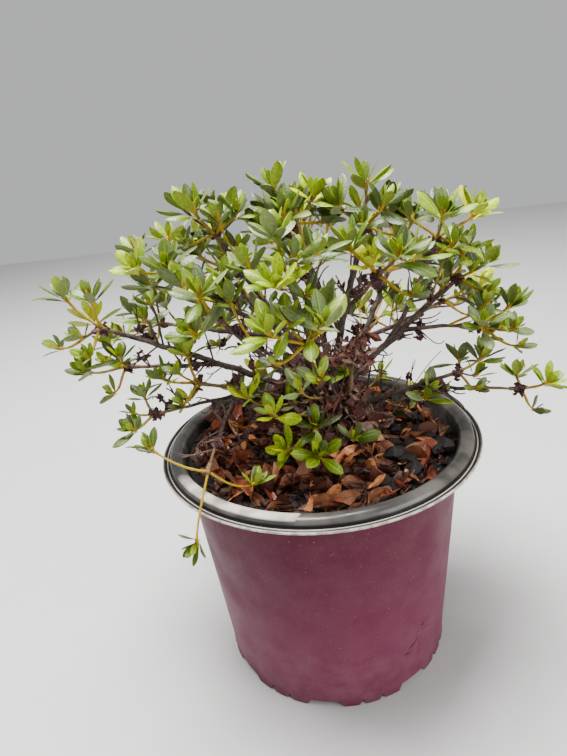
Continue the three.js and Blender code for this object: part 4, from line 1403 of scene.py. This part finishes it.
def grow_mass(crown, index, mass, draw):
    curve, onward = stem_of(mass)
    knot = curve.point(1)
    shoots = grow_main_shoots(index, mass, knot, onward)
    if mass.name == "withered":
        make_withered_clump(shoots)
        return
    if not mass.tips:
        grow_fine_shoots(index, mass, knot, onward, shoots, draw)
    for shoot in shoots:
        tint = "gold" if mass.tips else draw.choices(list(TINT_WEIGHTS), TINT_WEIGHTS.values())[0]
        add_shoot(crown.shoots[tint], shoot)
        add_whorl(crown, shoot, draw)
    if not mass.tips:
        count, size = draw.choice(KNOT_REMAINS), draw.uniform(0.8, 1.3)
        add_remains(crown.remains, knot, onward, draw, count, size)


def make_leaves(crown):
    stalk = mottled("leaf_stalk", STALK_COLOUR, 0.5)
    for tone, shape in crown.leaves.items():
        upper, vein, under = LEAF_TONES[tone]
        contrast, specular = (0.42, 0.2) if tone in BRIGHT_TONES else (0.3, 0.5)
        materials = [mottled(f"leaf_{tone}", upper, 0.38, 700, contrast, specular, 0.4),
                     mottled(f"leaf_{tone}_vein", vein, 0.45),
                     mottled(f"leaf_{tone}_under", under, 0.55), stalk]
        shape.piece(f"leaves_{tone}", "leaf", materials, crease=65)


def make_foliage():
    draw = random.Random("foliage")
    crown = Crown()
    for index, mass in enumerate(MASSES):
        grow_mass(crown, index, mass, draw)
    make_sprouts(crown, draw)
    make_old_twigs(crown)
    make_leaves(crown)
    nodes = [f"foliage_{mass.name}" for mass in MASSES if mass.name != "withered"]
    shapes = [*crown.shoots.values(), crown.scales, crown.remains, crown.twigs]
    for shape, (name, slot, look) in zip(shapes, CROWN_LOOKS):
        shape.piece(name, slot, [streaked(*look)], nodes if name == "shoots_gold" else (), crease=60)


# Dead leaves in the shrub

WITHERED_TONES = {"red": ((0.06, 0.017, 0.013), (0.25, 0.08, 0.055)),
                  "brown": ((0.03, 0.012, 0.01), (0.15, 0.06, 0.045)),
                  "tan": ((0.1, 0.05, 0.038), (0.32, 0.19, 0.14))}
THATCH_X, THATCH_Y, THATCH_RADIUS, THATCH_HEIGHT = 5, 4, 54, 72
THATCH_LEAVES, THATCH_TWIGS, SPRAY_LEAVES = 720, 45, 46


def withered_finishes(name):
    return [streaked(f"{name}_{tone}", *colours, 0.7, 200, 0.3) for tone, colours in WITHERED_TONES.items()]


def add_withered_leaf(shape, root, draw, length):
    heading = Vector((draw.gauss(0, 0.7), draw.gauss(0, 0.7), draw.uniform(-1.2, 0.3))).normalized()
    blade = Blade(length, length * draw.uniform(0.2, 0.42), arch=draw.gauss(0, 1.6),
                  fold=draw.uniform(0.3, 1.4), curl=draw.gauss(0, 0.8), wave=draw.uniform(0.2, 0.5),
                  phase=draw.uniform(0, 6), roll=draw.uniform(-3, 3), thick=0.35)
    if is_off_pot(root + heading * length):
        tone = draw.randrange(len(WITHERED_TONES))
        add_blade(shape, root, heading, perpendicular(heading), blade, rows=FEW_ROWS, parts=tone)


def make_withered_clump(shoots):
    """A dead spray: brown crumpled leaves that hang from its shoots."""
    shape = Shape()
    draw = random.Random("withered")
    for shoot in shoots:
        add_shoot(shape, shoot)
        for _ in range(SPRAY_LEAVES):
            root = shoot.curve.point(lerp(0.1, 1, draw.random()))
            aside = Vector((draw.gauss(0, 3), draw.gauss(0, 3), 0))
            add_withered_leaf(shape, root + aside, draw, draw.uniform(8, 17))
    finishes = withered_finishes("withered")
    shape.piece("withered_leaves", "withered_leaf", finishes, replaced=["foliage_withered"], crease=65)


def make_thatch():
    """Dead leaves and dry twigs caught in the foot of the shrub, deepest against the trunk."""
    leaves, twigs = Shape(), Shape()
    draw = random.Random("thatch")
    for _ in range(THATCH_LEAVES):
        radius = THATCH_RADIUS * math.sqrt(draw.random())
        turn = draw.uniform(0, math.tau)
        x, y = THATCH_X + radius * math.cos(turn), THATCH_Y + radius * math.sin(turn)
        room = THATCH_HEIGHT * (1 - (radius / THATCH_RADIUS) ** 2)
        root = Vector((x, y, mix_height(x, y) + 6 + room * draw.random()))
        add_withered_leaf(leaves, root, draw, lerp(8, 24, draw.random() ** 1.6))
    for _ in range(THATCH_TWIGS):
        turn = draw.uniform(0, math.tau)
        foot = Vector((TRUNK_X, TRUNK_Y, MIX_CROWN - 3)) + around(draw.uniform(10, 40), turn)
        tip = foot + Vector((draw.gauss(0, 22), draw.gauss(0, 22), draw.uniform(15, 75)))
        leaning = turned_about(UP, Vector((1, 0, 0)), draw.gauss(0, 1.4))
        curve = shoot_curve(foot, tip, leaning, draw.uniform(-1.2, 1))
        if is_off_pot(tip):
            add_twig(twigs, curve, draw.uniform(0.5, 1.1))
    leaves.piece("thatch_leaves", "withered_leaf", withered_finishes("thatch"), crease=65)
    dry = streaked("thatch_twig", (0.03, 0.015, 0.012), (0.12, 0.07, 0.05), 0.7, 300, 0.25)
    twigs.piece("thatch_twigs", "bark", [dry], crease=60)


# The studio

FLOOR_SIZE, FLOOR_COLOUR = 6.0, (0.5, 0.49, 0.48)
WORLD_COLOUR, WORLD_STRENGTH = (0.97, 0.98, 1, 1), 0.55
FOCAL_PIXELS, PHOTO_LONG_SIDE, SENSOR = 545, 756, 36
CAMERA_PLACE = (0, -437.1, 448.7)
CAMERA_YAW, CAMERA_PITCH, CAMERA_ROLL = -3.33, 22.22, -6.88  # degrees; the pitch is downwards


def make_camera():
    yaw, pitch, roll = (math.radians(a) for a in (CAMERA_YAW, CAMERA_PITCH, CAMERA_ROLL))
    forward = Vector((math.sin(yaw) * math.cos(pitch), math.cos(yaw) * math.cos(pitch), -math.sin(pitch)))
    level = Vector((math.cos(yaw), -math.sin(yaw), 0))
    upright = level.cross(forward)
    right = level * math.cos(roll) + upright * math.sin(roll)
    top = upright * math.cos(roll) - level * math.sin(roll)
    camera = add_object("camera", bpy.data.cameras.new("camera"))
    camera.data.sensor_width = SENSOR
    camera.data.lens = FOCAL_PIXELS / PHOTO_LONG_SIDE * SENSOR
    camera.data.clip_start = 0.01
    turned = Matrix((right, top, -forward)).transposed().to_4x4()
    camera.matrix_world = Matrix.Translation(Vector(CAMERA_PLACE) * MM) @ turned
    bpy.context.scene.camera = camera


def make_light(name, place, aim, size, power):
    light = add_object(name, bpy.data.lights.new(name, "AREA"))
    light.data.size = size
    light.data.energy = power
    light.location = place
    light.rotation_euler = (Vector(aim) - Vector(place)).to_track_quat("-Z", "Y").to_euler()


def make_studio():
    mesh = bpy.data.meshes.new("floor")
    half = FLOOR_SIZE / 2
    corners = [(-half, -half, 0), (half, -half, 0), (half, half, 0), (-half, half, 0)]
    mesh.from_pydata(corners, [], [(0, 1, 2, 3)])
    mesh.materials.append(mottled("floor", FLOOR_COLOUR, 0.8, scale=30, contrast=0.02, bump=0))
    add_object("floor", mesh)
    world = bpy.data.worlds.new("studio")
    world.use_nodes = True
    world.node_tree.nodes["Background"].inputs["Color"].default_value = WORLD_COLOUR
    world.node_tree.nodes["Background"].inputs["Strength"].default_value = WORLD_STRENGTH
    bpy.context.scene.world = world
    make_light("sky", (-0.3, 0.2, 2.1), (0, 0, 0.3), 1.1, 175)
    make_light("side", (1.6, -1.1, 1.1), (0, 0, 0.2), 1.4, 38)


make_camera()
make_wall()
make_rim()
make_bed()
make_chips()
make_shreds()
make_dead_leaves()
make_wood()
make_foliage()
make_thatch()
make_studio()
